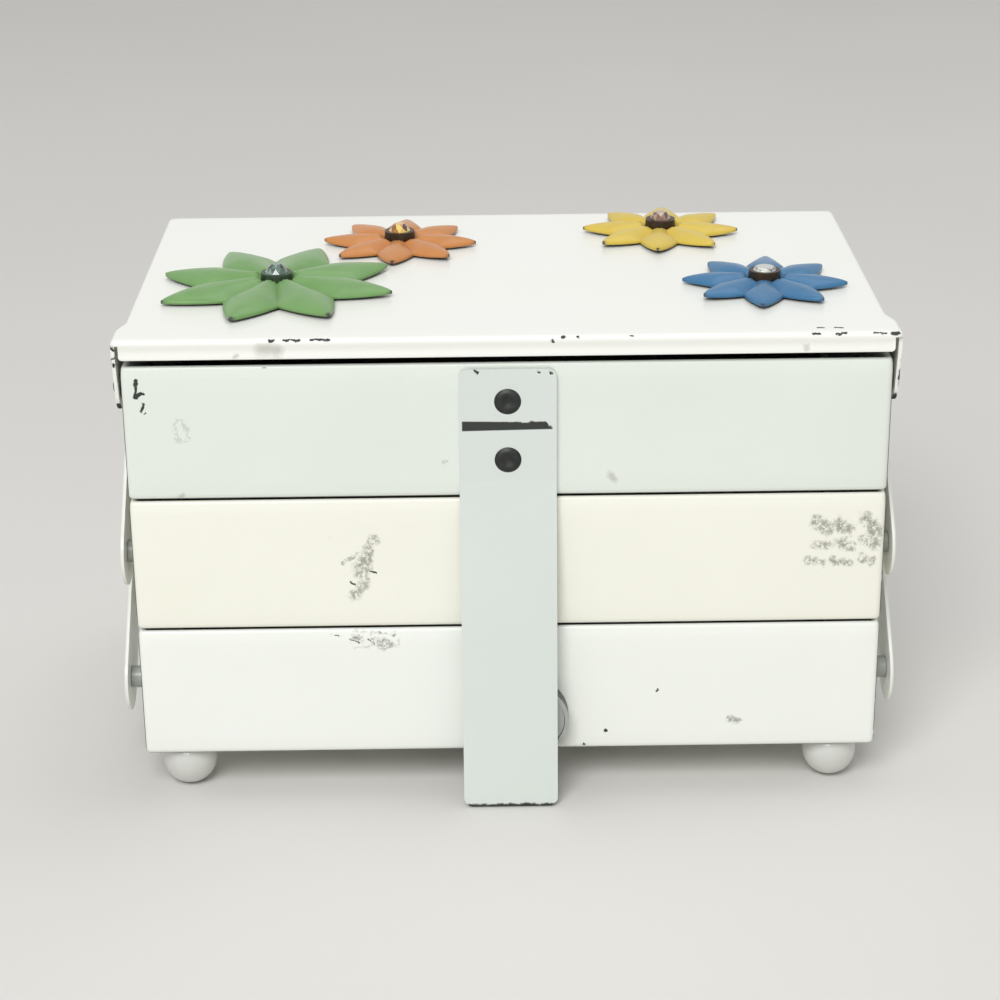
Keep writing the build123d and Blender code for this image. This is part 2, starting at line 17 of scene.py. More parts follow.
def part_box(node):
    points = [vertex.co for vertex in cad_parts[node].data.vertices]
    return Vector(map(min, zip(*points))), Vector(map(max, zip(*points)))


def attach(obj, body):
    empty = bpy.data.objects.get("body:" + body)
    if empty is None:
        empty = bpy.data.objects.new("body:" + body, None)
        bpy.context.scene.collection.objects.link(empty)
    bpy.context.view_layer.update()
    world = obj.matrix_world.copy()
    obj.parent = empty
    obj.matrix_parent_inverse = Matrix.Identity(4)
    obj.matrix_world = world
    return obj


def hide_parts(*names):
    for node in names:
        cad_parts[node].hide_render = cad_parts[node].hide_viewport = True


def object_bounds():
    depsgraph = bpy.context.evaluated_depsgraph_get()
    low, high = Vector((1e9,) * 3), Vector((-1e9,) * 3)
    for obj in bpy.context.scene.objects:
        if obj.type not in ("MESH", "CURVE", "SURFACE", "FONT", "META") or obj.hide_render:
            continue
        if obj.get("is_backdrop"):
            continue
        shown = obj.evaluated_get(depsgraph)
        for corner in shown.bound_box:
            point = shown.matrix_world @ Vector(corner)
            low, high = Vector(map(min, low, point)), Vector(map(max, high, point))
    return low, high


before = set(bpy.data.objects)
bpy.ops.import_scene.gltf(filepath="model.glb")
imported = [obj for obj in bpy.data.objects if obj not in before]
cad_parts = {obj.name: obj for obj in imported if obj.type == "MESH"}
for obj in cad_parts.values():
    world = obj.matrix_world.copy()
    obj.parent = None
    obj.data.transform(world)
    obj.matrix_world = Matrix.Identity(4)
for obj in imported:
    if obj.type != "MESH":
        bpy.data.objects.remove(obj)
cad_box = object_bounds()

mm = 0.001


def box_mm(node):
    """The lowest and the highest corner of a frame piece, in millimetres."""
    return [np.array(corner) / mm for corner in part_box(node)]


# %% [markdown]
# ## The camera
# A close picture of a small box is taken with a fairly long lens from half a metre away and well above
# it. The lens and the place were worked out from the box's own straight edges, so they are written here
# as plain values. Turning the camera by its three axes keeps the small roll that the picture has.

# %% Place the camera
camera_place = Vector((-6.4, -538.5, 269.1)) * mm
camera_yaw = 0.0093
camera_pitch = 0.3813
camera_roll = -0.0093
lens_mm = 88.2

ahead = Vector(
    (
        math.sin(camera_yaw) * math.cos(camera_pitch),
        math.cos(camera_yaw) * math.cos(camera_pitch),
        -math.sin(camera_pitch),
    )
)
level_right = Vector((math.cos(camera_yaw), -math.sin(camera_yaw), 0))
level_up = level_right.cross(ahead)
right = math.cos(camera_roll) * level_right + math.sin(camera_roll) * level_up
up = math.cos(camera_roll) * level_up - math.sin(camera_roll) * level_right

camera = bpy.data.objects.new("camera", bpy.data.cameras.new("camera"))
bpy.context.scene.collection.objects.link(camera)
turn = Matrix((right, up, -ahead)).transposed().to_4x4()
camera.matrix_world = Matrix.Translation(camera_place) @ turn
camera.data.lens = lens_mm
camera.data.sensor_width = 36.0
camera.data.clip_start = 0.01
bpy.context.scene.camera = camera
bpy.context.scene.view_settings.view_transform = "Standard"
print("camera to the box:", round((camera_place - Vector((0, 0, 0.05))).length, 3), "m")

# %% [markdown]
# ## Shader maths as Python
# A material is a graph of nodes, and arithmetic in it takes one Math node for each sign. Wrapping a socket
# in a small class lets the same graph be written as an expression, such as `1 - mask * 0.5`, which can be
# read at a glance. Colours and vectors go through Mix and Vector Math nodes instead, because a Math node
# turns them grey. Every other node comes from one method, which sets a node's options before its sockets.


# %% The wire and the finish
class Wire:
    """One output of a node, on which Python's signs build Math nodes."""

    def __init__(self, finish, socket):
        self.finish = finish
        self.socket = socket

    def __add__(self, other):
        return self.finish.math("ADD", self, other)

    def __radd__(self, other):
        return self.finish.math("ADD", other, self)

    def __sub__(self, other):
        return self.finish.math("SUBTRACT", self, other)

    def __rsub__(self, other):
        return self.finish.math("SUBTRACT", other, self)

    def __mul__(self, other):
        return self.finish.math("MULTIPLY", self, other)

    def __rmul__(self, other):
        return self.finish.math("MULTIPLY", other, self)


class Finish:
    """A material under construction: one Principled shader and whatever feeds it."""

    def __init__(self, name):
        self.material = bpy.data.materials.new(name)
        self.material.use_nodes = True
        self.tree = self.material.node_tree
        self.tree.nodes.clear()
        self.shader = self.node("ShaderNodeBsdfPrincipled")
        self.node("ShaderNodeOutputMaterial", sockets={"Surface": self.shader.outputs[0]})
        self.place = Wire(self, self.node("ShaderNodeTexCoord").outputs["Object"])

    def node(self, kind, settings=None, sockets=None):
        """A new node: its settings first, then values or links for its sockets."""
        made = self.tree.nodes.new(kind)
        for key, value in (settings or {}).items():
            setattr(made, key, value)
        for key, value in (sockets or {}).items():
            self.feed(made.inputs[key], value)
        return made

    def feed(self, target, value):
        """Links a wire or a socket to an input, or writes a plain value into it."""
        if isinstance(value, Wire):
            value = value.socket
        if isinstance(value, bpy.types.NodeSocket):
            self.tree.links.new(value, target)
        else:
            target.default_value = value

    def math(self, operation, *values):
        """A Math node on wires and numbers."""
        made = self.node("ShaderNodeMath", {"operation": operation}, dict(enumerate(values)))
        return Wire(self, made.outputs[0])

    def clamp(self, value):
        """The value held between 0 and 1."""
        sockets = {0: value, 1: 0.0}
        made = self.node("ShaderNodeMath", {"operation": "ADD", "use_clamp": True}, sockets)
        return Wire(self, made.outputs[0])

    def vector(self, operation, *values, output=0):
        """A Vector Math node on wires and triples."""
        made = self.node("ShaderNodeVectorMath", {"operation": operation}, dict(enumerate(values)))
        return Wire(self, made.outputs[output])

    def scaled(self, vector, amount):
        """A vector times a number or a wire."""
        sockets = {"Vector": vector, "Scale": amount}
        made = self.node("ShaderNodeVectorMath", {"operation": "SCALE"}, sockets)
        return Wire(self, made.outputs[0])

    def axis(self, letter, place=None):
        """One coordinate of a place on the piece, in millimetres."""
        made = self.node("ShaderNodeSeparateXYZ", sockets={0: place or self.place})
        return Wire(self, made.outputs[letter]) * (1 / mm)

    def noise(self, size, detail=3.0, roughness=0.5, place=None, output=0):
        """Soft noise from 0 to 1, whose lumps are about the given size in metres."""
        sockets = {"Vector": place or self.place, "Scale": 1 / size}
        sockets.update({"Detail": detail, "Roughness": roughness})
        return Wire(self, self.node("ShaderNodeTexNoise", sockets=sockets).outputs[output])

    def mix(self, factor, low, high):
        """A colour between two others."""
        made = self.node("ShaderNodeMix", {"data_type": "RGBA"}, {0: factor, 6: low, 7: high})
        return Wire(self, made.outputs[2])

    def attribute(self, name):
        """A number stored on the mesh's points."""
        made = self.node("ShaderNodeAttribute", {"attribute_name": name})
        return Wire(self, made.outputs["Fac"])

    def bump(self, height, depth):
        """Relief of the given depth in metres from a height between 0 and 1."""
        made = self.node("ShaderNodeBump", sockets={"Height": height, "Distance": depth})
        self.feed(self.shader.inputs["Normal"], made.outputs[0])

    def set(self, **values):
        """Values or wires for the shader's own sockets, with an underscore for each space."""
        for key, value in values.items():
            self.feed(self.shader.inputs[key.replace("_", " ")], value)


def paint(red, green, blue):
    """A colour written as on a screen, from 0 to 255, turned into light amounts."""
    shares = np.array([red, green, blue]) / 255
    light = np.where(shares <= 0.04045, shares / 12.92, ((shares + 0.055) / 1.055) ** 2.4)
    return (*light.tolist(), 1.0)


print("a mid grey of 128 is", round(paint(128, 128, 128)[0], 3), "of white's light")

# %% [markdown]
# ## Light and floor
# Small goods are shown on a pale table under large soft lamps. A plain world light does most of the work
# at a level where a colour comes out about as it is written; one broad lamp above and one in front shape
# the form and leave the dark under the box. The room that shows in the metal's reflections is white.

# %% Floor, world and lamps
floor_finish = Finish("pale_table")
floor_cloud = floor_finish.noise(0.25, detail=2.0)
floor_tone = floor_finish.mix(floor_cloud, paint(218, 216, 212), paint(226, 224, 220))
floor_finish.set(Base_Color=floor_tone, Roughness=0.75)

floor_half = 3.0
floor_mesh = bpy.data.meshes.new("floor")
corners = [(sx * floor_half, sy * floor_half, 0.0) for sx, sy in ((-1, -1), (1, -1), (1, 1), (-1, 1))]
floor_mesh.from_pydata(corners, [], [(0, 1, 2, 3)])
floor = bpy.data.objects.new("floor", floor_mesh)
bpy.context.scene.collection.objects.link(floor)
floor_mesh.materials.append(floor_finish.material)
floor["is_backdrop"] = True

room_light = 0.38
glossy_share = 0.8
world = bpy.data.worlds.new("white_room")
world.use_nodes = True
room = world.node_tree
backdrop = room.nodes["Background"]
backdrop.inputs["Color"].default_value = (1.0, 1.0, 1.0, 1.0)
rays = room.nodes.new("ShaderNodeLightPath")
seen = room.nodes.new("ShaderNodeMath")
seen.operation = "ADD"
seen.use_clamp = True
mirrored = room.nodes.new("ShaderNodeMath")
mirrored.operation = "MULTIPLY_ADD"
mirrored.inputs[1].default_value = glossy_share
strength = room.nodes.new("ShaderNodeMapRange")
strength.inputs["To Min"].default_value = room_light
strength.inputs["To Max"].default_value = 1.0
for start, end in (
    (rays.outputs["Is Camera Ray"], seen.inputs[0]),
    (rays.outputs["Is Transmission Ray"], seen.inputs[1]),
    (rays.outputs["Is Glossy Ray"], mirrored.inputs[0]),
    (seen.outputs[0], mirrored.inputs[2]),
    (mirrored.outputs[0], strength.inputs["Value"]),
    (strength.outputs[0], backdrop.inputs["Strength"]),
):
    room.links.new(start, end)
bpy.context.scene.world = world


def add_lamp(name, place, watts, size):
    """A square soft lamp that looks at the box."""
    lamp = bpy.data.lights.new(name, "AREA")
    lamp.energy = watts
    lamp.size = size
    holder = bpy.data.objects.new(name, lamp)
    holder.location = place
    aim = Vector((0, 0, 0.06)) - Vector(place)
    holder.rotation_euler = aim.to_track_quat("-Z", "Y").to_euler()
    bpy.context.scene.collection.objects.link(holder)


add_lamp("lamp_above", (0.3, 0.35, 1.5), watts=5.0, size=1.0)
add_lamp("lamp_front", (-0.35, -1.3, 1.36), watts=22.0, size=0.9)

# %% [markdown]
# ## White enamel and its damage
# Sprayed enamel on folded sheet is smooth but not flat: it has a fine orange peel, broad clouds where it
# has yellowed, and chips that bare the dark steel where things have struck it. A chip is a short stroke
# with a ragged outline, so each one is the distance to a line between two points, shaken by noise. That
# is sharper at any scale than a painted picture, and it stays where it is on the piece.


# %% Strokes, scuffs and the enamel
def stroke_distance(finish, place, start, end, radius):
    """How far a place is from the line from start to end, in shares of the stroke's radius.
    The nearest point is start plus the line, times the place's share along it held from 0 to 1."""
    a = Vector(start) * mm
    line = Vector(end) * mm - a
    away = finish.vector("SUBTRACT", place, tuple(a))
    if line.length > 0:
        along = finish.vector("DOT_PRODUCT", away, tuple(line), output="Value")
        share = finish.clamp(along * (1 / line.length_squared))
        away = finish.vector("SUBTRACT", away, finish.scaled(tuple(line), share))
    return finish.vector("LENGTH", away, output="Value") * (1 / (radius * mm))


def stroke_mask(finish, place, strokes, crispness):
    """1 inside any of the strokes, 0 outside: the least distance, turned round and sharpened."""
    nearest = None
    for start, end, radius in strokes:
        distance = stroke_distance(finish, place, start, end, radius)
        nearest = distance if nearest is None else finish.math("MINIMUM", nearest, distance)
    return finish.clamp((1 - nearest) * crispness + 0.5)


# dark steel: the colour of bared steel in chips, and also painted shade down the trays' front corners and in
# the gaps between the trays
bare_steel_and_shade = paint(52, 56, 52)
grime = paint(150, 148, 136)
scuff_grey = paint(108, 108, 96)
tray_corner = 1.4
tray_low, tray_high = box_mm("top_tray")
tray_front = tray_low[1]
tray_bodies = {"bottom_tray": "base", "middle_tray": "middle", "top_tray": "top"}
tray_bottoms = [box_mm(node)[0][2] for node in tray_bodies]


def painted_gap_shade(finish, ragged):
    """Painted shade, drawn in the dark steel colour: 1 on a thin line down each front corner of a tray, on
    the part of its bend that faces the side, broken by noise, and on the lower bend, from 0.06 to 0.5 mm
    above the underside, where the gaps between the trays are dark."""
    outside = finish.clamp((finish.math("ABSOLUTE", finish.axis("X")) - (tray_high[0] - 0.3)) * 8)
    ahead_of_side = finish.clamp((tray_front + tray_corner - 0.1 - finish.axis("Y")) * 8)
    kept = finish.clamp((finish.noise(5 * mm, detail=4.0) - 0.62) * 12)
    darkened = outside * ahead_of_side * (1 - kept)
    z = finish.axis("Z")
    for bottom in tray_bottoms:
        above = z - bottom
        lower_bend = finish.clamp((above - 0.06) * 12) * finish.clamp((0.5 - above) * 6)
        darkened = finish.math("MAXIMUM", darkened, lower_bend)
    return darkened


def shaken_place(finish, amount, size):
    """The place moved about by noise, so that what is drawn there gets a ragged edge."""
    wobble = finish.noise(size, detail=4.0, roughness=0.65, output=1)
    centred = finish.vector("SUBTRACT", wobble, (0.5, 0.5, 0.5))
    return finish.vector("ADD", finish.place, finish.scaled(centred, amount * 2))


def make_enamel(name, pale, warm, chips=(), scuffs=(), stains=(), extra_wear_and_shade=None, outlines=()):
    """White enamel between two tones, with chips to bare steel, broken scuffs, faint stains and the outlines
    of dried drops, which are dark where the distance is near one radius. An extra mask takes the same dark
    steel colour: worn steel on the leg, and painted shade at the trays' corners and gaps."""
    finish = Finish(name)
    cloud = finish.noise(0.045, detail=2.0)
    tone = finish.mix(cloud, paint(*pale), paint(*warm))
    ragged = shaken_place(finish, amount=0.9 * mm, size=1.6 * mm)
    dark_metal_share = 0.0
    if chips:
        dark_metal_share = stroke_mask(finish, ragged, chips, crispness=2.2)
    if extra_wear_and_shade:
        dark_metal_share = finish.math("MAXIMUM", dark_metal_share, extra_wear_and_shade(finish, ragged))
    if scuffs:
        rough_place = shaken_place(finish, amount=1.9 * mm, size=2.2 * mm)
        grain = finish.noise(0.8 * mm, detail=5.0, roughness=0.75)
        broken = finish.clamp((grain - 0.4) * 6)
        scuffed = stroke_mask(finish, rough_place, scuffs, crispness=1.4) * broken
        tone = finish.mix(scuffed * 0.72, tone, scuff_grey)
    if stains:
        stained = stroke_mask(finish, ragged, stains, crispness=0.8)
        tone = finish.mix(stained * 0.45, tone, grime)
    for start, end, radius in outlines:
        drop_place = shaken_place(finish, amount=2.6 * mm, size=2.2 * mm)
        off_line = finish.math("ABSOLUTE", stroke_distance(finish, drop_place, start, end, radius) - 1)
        broken_line = finish.clamp(finish.noise(1.5 * mm, detail=2.0) * 6 - 2.3)
        line = finish.clamp(1 - 2 * radius * off_line) * broken_line
        tone = finish.mix(line * 0.4, tone, grime)
    # dark steel colour: bared steel in chips and on the leg, and painted shade at the trays' corners and
    # gaps
    if chips or extra_wear_and_shade:
        tone = finish.mix(dark_metal_share, tone, bare_steel_and_shade)
    peel = finish.noise(1.1 * mm, detail=1.5)
    waves = finish.noise(14 * mm, detail=1.0)
    finish.bump(finish.clamp(peel * 0.12 + waves * 0.6 - dark_metal_share * 0.3 + 0.2), 0.22 * mm)
    finish.set(Base_Color=tone, Roughness=0.26 + dark_metal_share * 0.42 + cloud * 0.06)
    finish.set(Coat_Weight=0.12 - dark_metal_share * 0.12, Specular_IOR_Level=0.38)
    return finish.material


print("colours: bare steel", [round(c, 3) for c in bare_steel_and_shade[:3]])

# %% [markdown]
# ## Where the damage is
# Chips, scuffs and stains are listed for each painted piece as strokes between two points, with a radius,
# in millimetres. The heights and depths that they share come from the frame's own boxes, so a mark sits
# on the wall that it belongs to. Long edges lose their paint first, so the creases carry most of them.

# %% Marks on each painted piece
lid_low, lid_high = box_mm("lid")
lid_front = lid_low[1]
lid_side, lid_back, lid_top = lid_high
leg_face = tray_front - 1.2


def on_front(rows, y=tray_front):
    """Strokes on an upright front wall, from rows of x, z, x, z and radius."""
    return [((x1, y, z1), (x2, y, z2), radius) for x1, z1, x2, z2, radius in rows]


def on_lid(rows):
    """Strokes on the lid, from rows of x, y, z, x, y, z and radius, counted from its top front edge."""
    corner = Vector((0, lid_front, lid_top))
    return [(corner + Vector(row[:3]), corner + Vector(row[3:6]), row[6]) for row in rows]


def on_crease(rows):
    """Strokes along the lid's front bend, from rows of x, x and radius."""
    return on_lid([(x1, 0.35, -0.3, x2, 0.35, -0.3, radius) for x1, x2, radius in rows])


crease_chips = on_crease(
    [
        (-50.2, -49.5, 0.28), (-47.0, -43.9, 0.3), (-41.5, -37.9, 0.34), (11.7, 12.0, 0.4),
        (14.8, 15.1, 0.28), (26.0, 26.6, 0.2), (65.0, 66.0, 0.34), (69.8, 71.9, 0.3),
        (77.8, 80.0, 0.27), (81.7, 82.7, 0.55),
    ]
)
lid_chips = on_lid(
    [
        (9.5, 0, -0.9, 9.8, 0, -1.4, 0.28), (66.4, 3.9, 0, 67.2, 3.6, 0, 0.42),
        (70.0, 3.8, 0, 71.3, 3.7, 0, 0.4),
    ]
)
ear_chips = on_lid(
    [
        (84.0, 1.2, -6.8, 83.2, 1.2, -8.7, 0.35), (84.1, 2.6, -9.2, 84.1, 2.6, -13.4, 0.5),
        (83.6, 3.4, -15.8, 83.6, 6.0, -17.2, 0.9), (-84.0, 1.2, -1.4, -83.5, 1.2, -2.6, 0.32),
        (-83.2, 1.2, -4.1, -84.0, 1.2, -4.9, 0.35), (-83.4, 1.2, -5.6, -83.9, 1.2, -7.4, 0.35),
        (-83.6, 3.4, -15.8, -83.6, 6.0, -17.2, 0.9),
    ]
)
lid_stains = on_lid(
    [
        (-52.0, 0, -2.2, -48.6, 0, -2.5, 1.3), (-57.6, 0, -3.7, -57.5, 0, -3.5, 0.5),
        (63.5, 0, -3.5, 63.6, 0, -3.0, 0.6),
    ]
)
top_chips = on_front(
    [
        (-79.0, 99.4, -79.4, 96.0, 0.38), (-79.4, 95.9, -77.7, 96.4, 0.42), (-77.9, 94.2, -78.3, 92.6, 0.34),
        (-77.3, 92.1, -77.3, 92.0, 0.2), (-52.0, 102.1, -51.6, 102.1, 0.5),
    ]
)
top_stains = on_front(
    [(-71.1, 72.7, -70.6, 73.0, 0.6), (22.2, 76.6, 22.9, 75.4, 0.7), (-13.9, 80.0, -13.1, 80.0, 0.25)]
)
middle_chips = on_front(
    [(-30.4, 54.7, -28.9, 53.9, 0.22), (-35.2, 52.2, -33.6, 51.0, 0.24), (-39.0, 62.9, -38.5, 62.0, 0.14)]
)
middle_scuffs = on_front(
    [
        (-29.6, 62.2, -31.6, 56.4, 1.1), (-31.4, 57.2, -32.4, 54.6, 1.8), (-31.8, 51.8, -34.2, 48.8, 1.2),
        (-33.2, 58.6, -37.0, 56.4, 0.5), (67.4, 64.8, 69.6, 63.2, 1.6), (72.4, 64.4, 74.6, 63.0, 1.5),
        (78.2, 65.4, 80.4, 62.6, 1.6), (67.6, 59.6, 70.0, 59.2, 1.1), (72.8, 60.0, 74.8, 59.0, 1.2),
        (78.0, 60.4, 80.4, 59.8, 1.3), (65.6, 56.0, 68.4, 55.4, 0.9), (71.2, 55.8, 74.6, 55.2, 0.9),
        (77.6, 56.4, 79.6, 55.4, 1.0),
    ]
)
bottom_chips = on_front(
    [
        (-40.6, 39.7, -36.6, 38.9, 0.16), (-35.6, 38.2, -33.4, 37.2, 0.14), (-31.6, 38.2, -30.0, 36.9, 0.15),
        (32.9, 24.7, 33.0, 24.4, 0.28), (21.4, 14.8, 21.7, 14.4, 0.3), (16.5, 11.5, 16.7, 11.2, 0.35),
    ]
)
bottom_scuffs = on_front(
    [
        (-34.2, 38.4, -33.0, 38.0, 0.8), (-30.2, 37.6, -26.6, 36.6, 1.0), (-29.0, 39.4, -25.6, 39.3, 0.45),
        (49.4, 17.0, 51.4, 16.8, 0.8),
    ]
)
leg_rows = [(-6.9, 101.1, -6.5, 100.7, 0.32), (6.5, 100.8, 6.9, 100.6, 0.3), (9.3, 100.5, 9.5, 100.4, 0.28)]
leg_chips = on_front(leg_rows, leg_face) + on_front([(10.5, 51.1, 10.5, 50.4, 0.4)], leg_face - 3.0)
top_outlines = on_front([(-69.9, 88.4, -69.9, 86.9, 1.5)])
bottom_outlines = on_front([(-33.2, 38.2, -26.4, 37.7, 1.9), (-28.2, 37.0, -27.2, 36.8, 0.9)])
print("strokes on the lid:", len(crease_chips + lid_chips + ear_chips), "and on the leg:", len(leg_chips))

# %% [markdown]
# ## The leg's bare line and bare foot
# A ragged band across the leg, between its rivets, has lost its paint down to dark steel, and so has the
# edge that stands on the table. The band is where the height lies between two sloping lines. Towards the
# right the upper one is measured at the shaken place, so the paint's edge grows ragged there.


# %% Bare band and foot of the leg
leg_foot = box_mm("support_leg")[0][2]
band_left, band_right = -9.9, 9.7
band_low, band_high = 87.5, 89.6
ragged_from = 8.2


def bare_leg(finish, ragged):
    """1 in the band between two sloping lines, and under a line just above the leg's foot."""
    ragged_z = finish.axis("Z", ragged)
    x = finish.axis("X")
    z = finish.axis("Z")
    upper = band_high - 0.02 * x - 0.9 * finish.clamp(1.6 * (x - ragged_from))
    lower = band_low + 0.014 * x
    far_side = finish.clamp(x * 0.12 + 0.4)
    height = z + (ragged_z - z) * far_side
    inside = finish.clamp((upper - height) * 5) * finish.clamp((z - lower) * 5)
    between = inside * finish.clamp((band_right - x) * 4) * finish.clamp((x - band_left) * 6)
    foot = finish.clamp((leg_foot + 0.7 - ragged_z) * 3)
    return finish.math("MAXIMUM", between, foot)


enamel_looks = {
    "lid": dict(pale=(246, 247, 242), warm=(242, 243, 235), stains=lid_stains),
    "top_tray": dict(pale=(234, 240, 234), warm=(226, 232, 222), chips=top_chips, stains=top_stains),
    "middle_tray": dict(pale=(247, 247, 237), warm=(243, 243, 228), chips=middle_chips),
    "bottom_tray": dict(pale=(247, 250, 245), warm=(242, 245, 237), chips=bottom_chips),
    "support_leg": dict(pale=(223, 230, 225), warm=(213, 221, 215), chips=leg_chips, extra_wear_and_shade=bare_leg),
    "arms": dict(pale=(240, 242, 236), warm=(228, 230, 222)),
    # the spacers' grey is painted shade: a darker grey enamel that stands for the shade on the arms' inner
    # faces
    "spacers": dict(pale=(172, 176, 171), warm=(150, 154, 148)),
}
enamel_looks["lid"]["chips"] = crease_chips + lid_chips + ear_chips
enamel_looks["middle_tray"]["scuffs"] = middle_scuffs
enamel_looks["bottom_tray"]["scuffs"] = bottom_scuffs
enamel_looks["bottom_tray"]["outlines"] = bottom_outlines
enamel_looks["top_tray"]["outlines"] = top_outlines
# painted shade: the trays' front corners and the gaps between the trays are drawn dark in the steel colour
for node in tray_bodies:
    enamel_looks[node]["extra_wear_and_shade"] = painted_gap_shade
enamels = {piece: make_enamel(f"enamel_{piece}", **look) for piece, look in enamel_looks.items()}
print("enamels:", list(enamels))

# %% [markdown]
# ## Metals, stones and the small parts
# Old rivets are dark and dull with a little shine where they have been touched. The magnet wears a grey
# plating in a dark cup. The stones are cut glass with foil behind them: what is seen is mostly the foil's
# colour, painted lighter in some facets and darker in others as the light coming back from the foil would
# make them, and the sharp facets are the model's own flat faces.


# %% Dark steel, plating, stones and feet
def make_metal(name, low, high, roughness, relief):
    """Worn metal: two tones mixed by noise, rougher where it is lighter."""
    finish = Finish(name)
    patch = finish.noise(1.4 * mm, detail=4.0, roughness=0.6)
    finish.set(Base_Color=finish.mix(patch, paint(*low), paint(*high)), Metallic=0.85)
    finish.set(Roughness=roughness + patch * 0.2)
    finish.bump(patch, relief * mm)
    return finish.material


stone_clearness = 0.1


def make_stone(name, dark, mid, light):
    """Cut glass with foil behind it. Each flat facet has one normal of its own, so slow noise read at the
    normal gives every facet its own lighter or darker colour: painted light, standing in for the light that
    comes back from the foil."""
    finish = Finish(name)
    facing = Wire(finish, finish.node("ShaderNodeTexCoord").outputs["Normal"])
    # painted light: how bright each facet's colour is stands in for the light that the foil sends back
    # through it
    depth = finish.clamp((finish.noise(0.45, detail=0.0, place=facing) - 0.36) * 3.4)
    shade = finish.mix(finish.clamp(depth * 2), paint(*dark), paint(*mid))
    shade = finish.mix(finish.clamp(depth * 2 - 1), shade, paint(*light))
    finish.set(Base_Color=shade, Roughness=0.05 + depth * 0.04)
    finish.set(Transmission_Weight=stone_clearness, IOR=1.6, Coat_Weight=0.5)
    return finish.material


rivet_steel = make_metal("dark_rivet_steel", (40, 42, 42), (74, 76, 74), roughness=0.38, relief=0.05)
plating = make_metal("grey_plating", (168, 172, 169), (190, 193, 189), roughness=0.42, relief=0.02)

cup_face = box_mm("magnet_cup")[0][1]
cup = Finish("dark_cup_steel")
cup_patch = cup.noise(1.4 * mm, detail=4.0)
cup_front = cup.clamp((cup_face + 0.4 - cup.axis("Y")) * 6)
cup_side = cup.mix(cup_patch, paint(70, 74, 70), paint(104, 108, 103))
cup.set(Base_Color=cup.mix(cup_front, cup_side, paint(176, 179, 176)))
cup.set(Metallic=0.6, Roughness=0.4 + cup_patch * 0.1)

setting = Finish("aged_settings")
setting_patch = setting.noise(1.4 * mm, detail=4.0, roughness=0.6)
bronze = setting.mix(setting_patch, paint(34, 28, 24), paint(84, 68, 50))
mossy = setting.mix(setting_patch, paint(34, 44, 36), paint(88, 108, 86))
green_middle = tuple(sum(box_mm("green_flower")) / 2 * mm)
from_green = setting.vector("DISTANCE", setting.place, green_middle, output="Value")
at_green = setting.clamp((8 * mm - from_green) * 2000)
setting.set(Base_Color=setting.mix(at_green, bronze, mossy), Metallic=0.7)
setting.set(Roughness=0.3 + setting_patch * 0.2)

stones = {
    "green": make_stone("green_stone", (20, 36, 30), (62, 94, 80), (136, 166, 148)),
    "orange": make_stone("amber_stone", (96, 44, 14), (206, 136, 40), (250, 222, 120)),
    "yellow": make_stone("brown_stone", (50, 30, 22), (134, 98, 74), (206, 176, 152)),
    "blue": make_stone("clear_stone", (96, 98, 94), (170, 172, 166), (228, 230, 224)),
}

foot = Finish("glossy_foot")
foot_cloud = foot.noise(8 * mm, detail=2.0)
# a grey-white, a little darker than white paint: partly painted shade, for the shadow under the box
foot.set(Base_Color=foot.mix(foot_cloud, paint(216, 217, 212), paint(204, 205, 199)))
foot.set(Roughness=0.16 + foot_cloud * 0.08, Coat_Weight=0.4)
print("stones:", list(stones))

# %% [markdown]
# ## Smooth bends on the frame's own pieces
# The frame's meshes are loose triangles, which would show their facets on every bend. A small geometry
# node group joins the loose points and shades the surface smooth, except across edges sharper than a set
# angle, and a Weighted Normal modifier keeps the flats flat. The leg's edges get a small round as well.
# The meshes themselves aren't changed.


# %% A node group that smooths bends
def make_bend_smoother(limit_degrees):
    """Merge points by distance, shade smooth, then mark edges past the limit as sharp."""
    group = bpy.data.node_groups.new("smooth_bends", "GeometryNodeTree")
    group.interface.new_socket("Geometry", in_out="INPUT", socket_type="NodeSocketGeometry")
    group.interface.new_socket("Geometry", in_out="OUTPUT", socket_type="NodeSocketGeometry")
    nodes = group.nodes
    start = nodes.new("NodeGroupInput")
    end = nodes.new("NodeGroupOutput")
    merge = nodes.new("GeometryNodeMergeByDistance")
    merge.inputs["Distance"].default_value = 0.002 * mm
    faces = nodes.new("GeometryNodeSetShadeSmooth")
    edges = nodes.new("GeometryNodeSetShadeSmooth")
    edges.domain = "EDGE"
    angle = nodes.new("GeometryNodeInputMeshEdgeAngle")
    gentle = nodes.new("ShaderNodeMath")
    gentle.operation = "LESS_THAN"
    gentle.inputs[1].default_value = math.radians(limit_degrees)
    for output, socket in (
        (start.outputs[0], merge.inputs["Geometry"]),
        (merge.outputs[0], faces.inputs["Geometry"]),
        (faces.outputs[0], edges.inputs["Geometry"]),
        (angle.outputs["Unsigned Angle"], gentle.inputs[0]),
        (gentle.outputs[0], edges.inputs["Shade Smooth"]),
        (edges.outputs[0], end.inputs[0]),
    ):
        group.links.new(output, socket)
    return group


bend_smoother = make_bend_smoother(limit_degrees=32)


def dress(node, material, smooth=True):
    """Gives a frame piece its material and, where it has bends, smooth shading."""
    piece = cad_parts[node]
    piece.data.materials.clear()
    piece.data.materials.append(material)
    if smooth:
        modifier = piece.modifiers.new("smooth_bends", "NODES")
        modifier.node_group = bend_smoother
        weighted = piece.modifiers.new("flat_flats", "WEIGHTED_NORMAL")
        weighted.keep_sharp = True


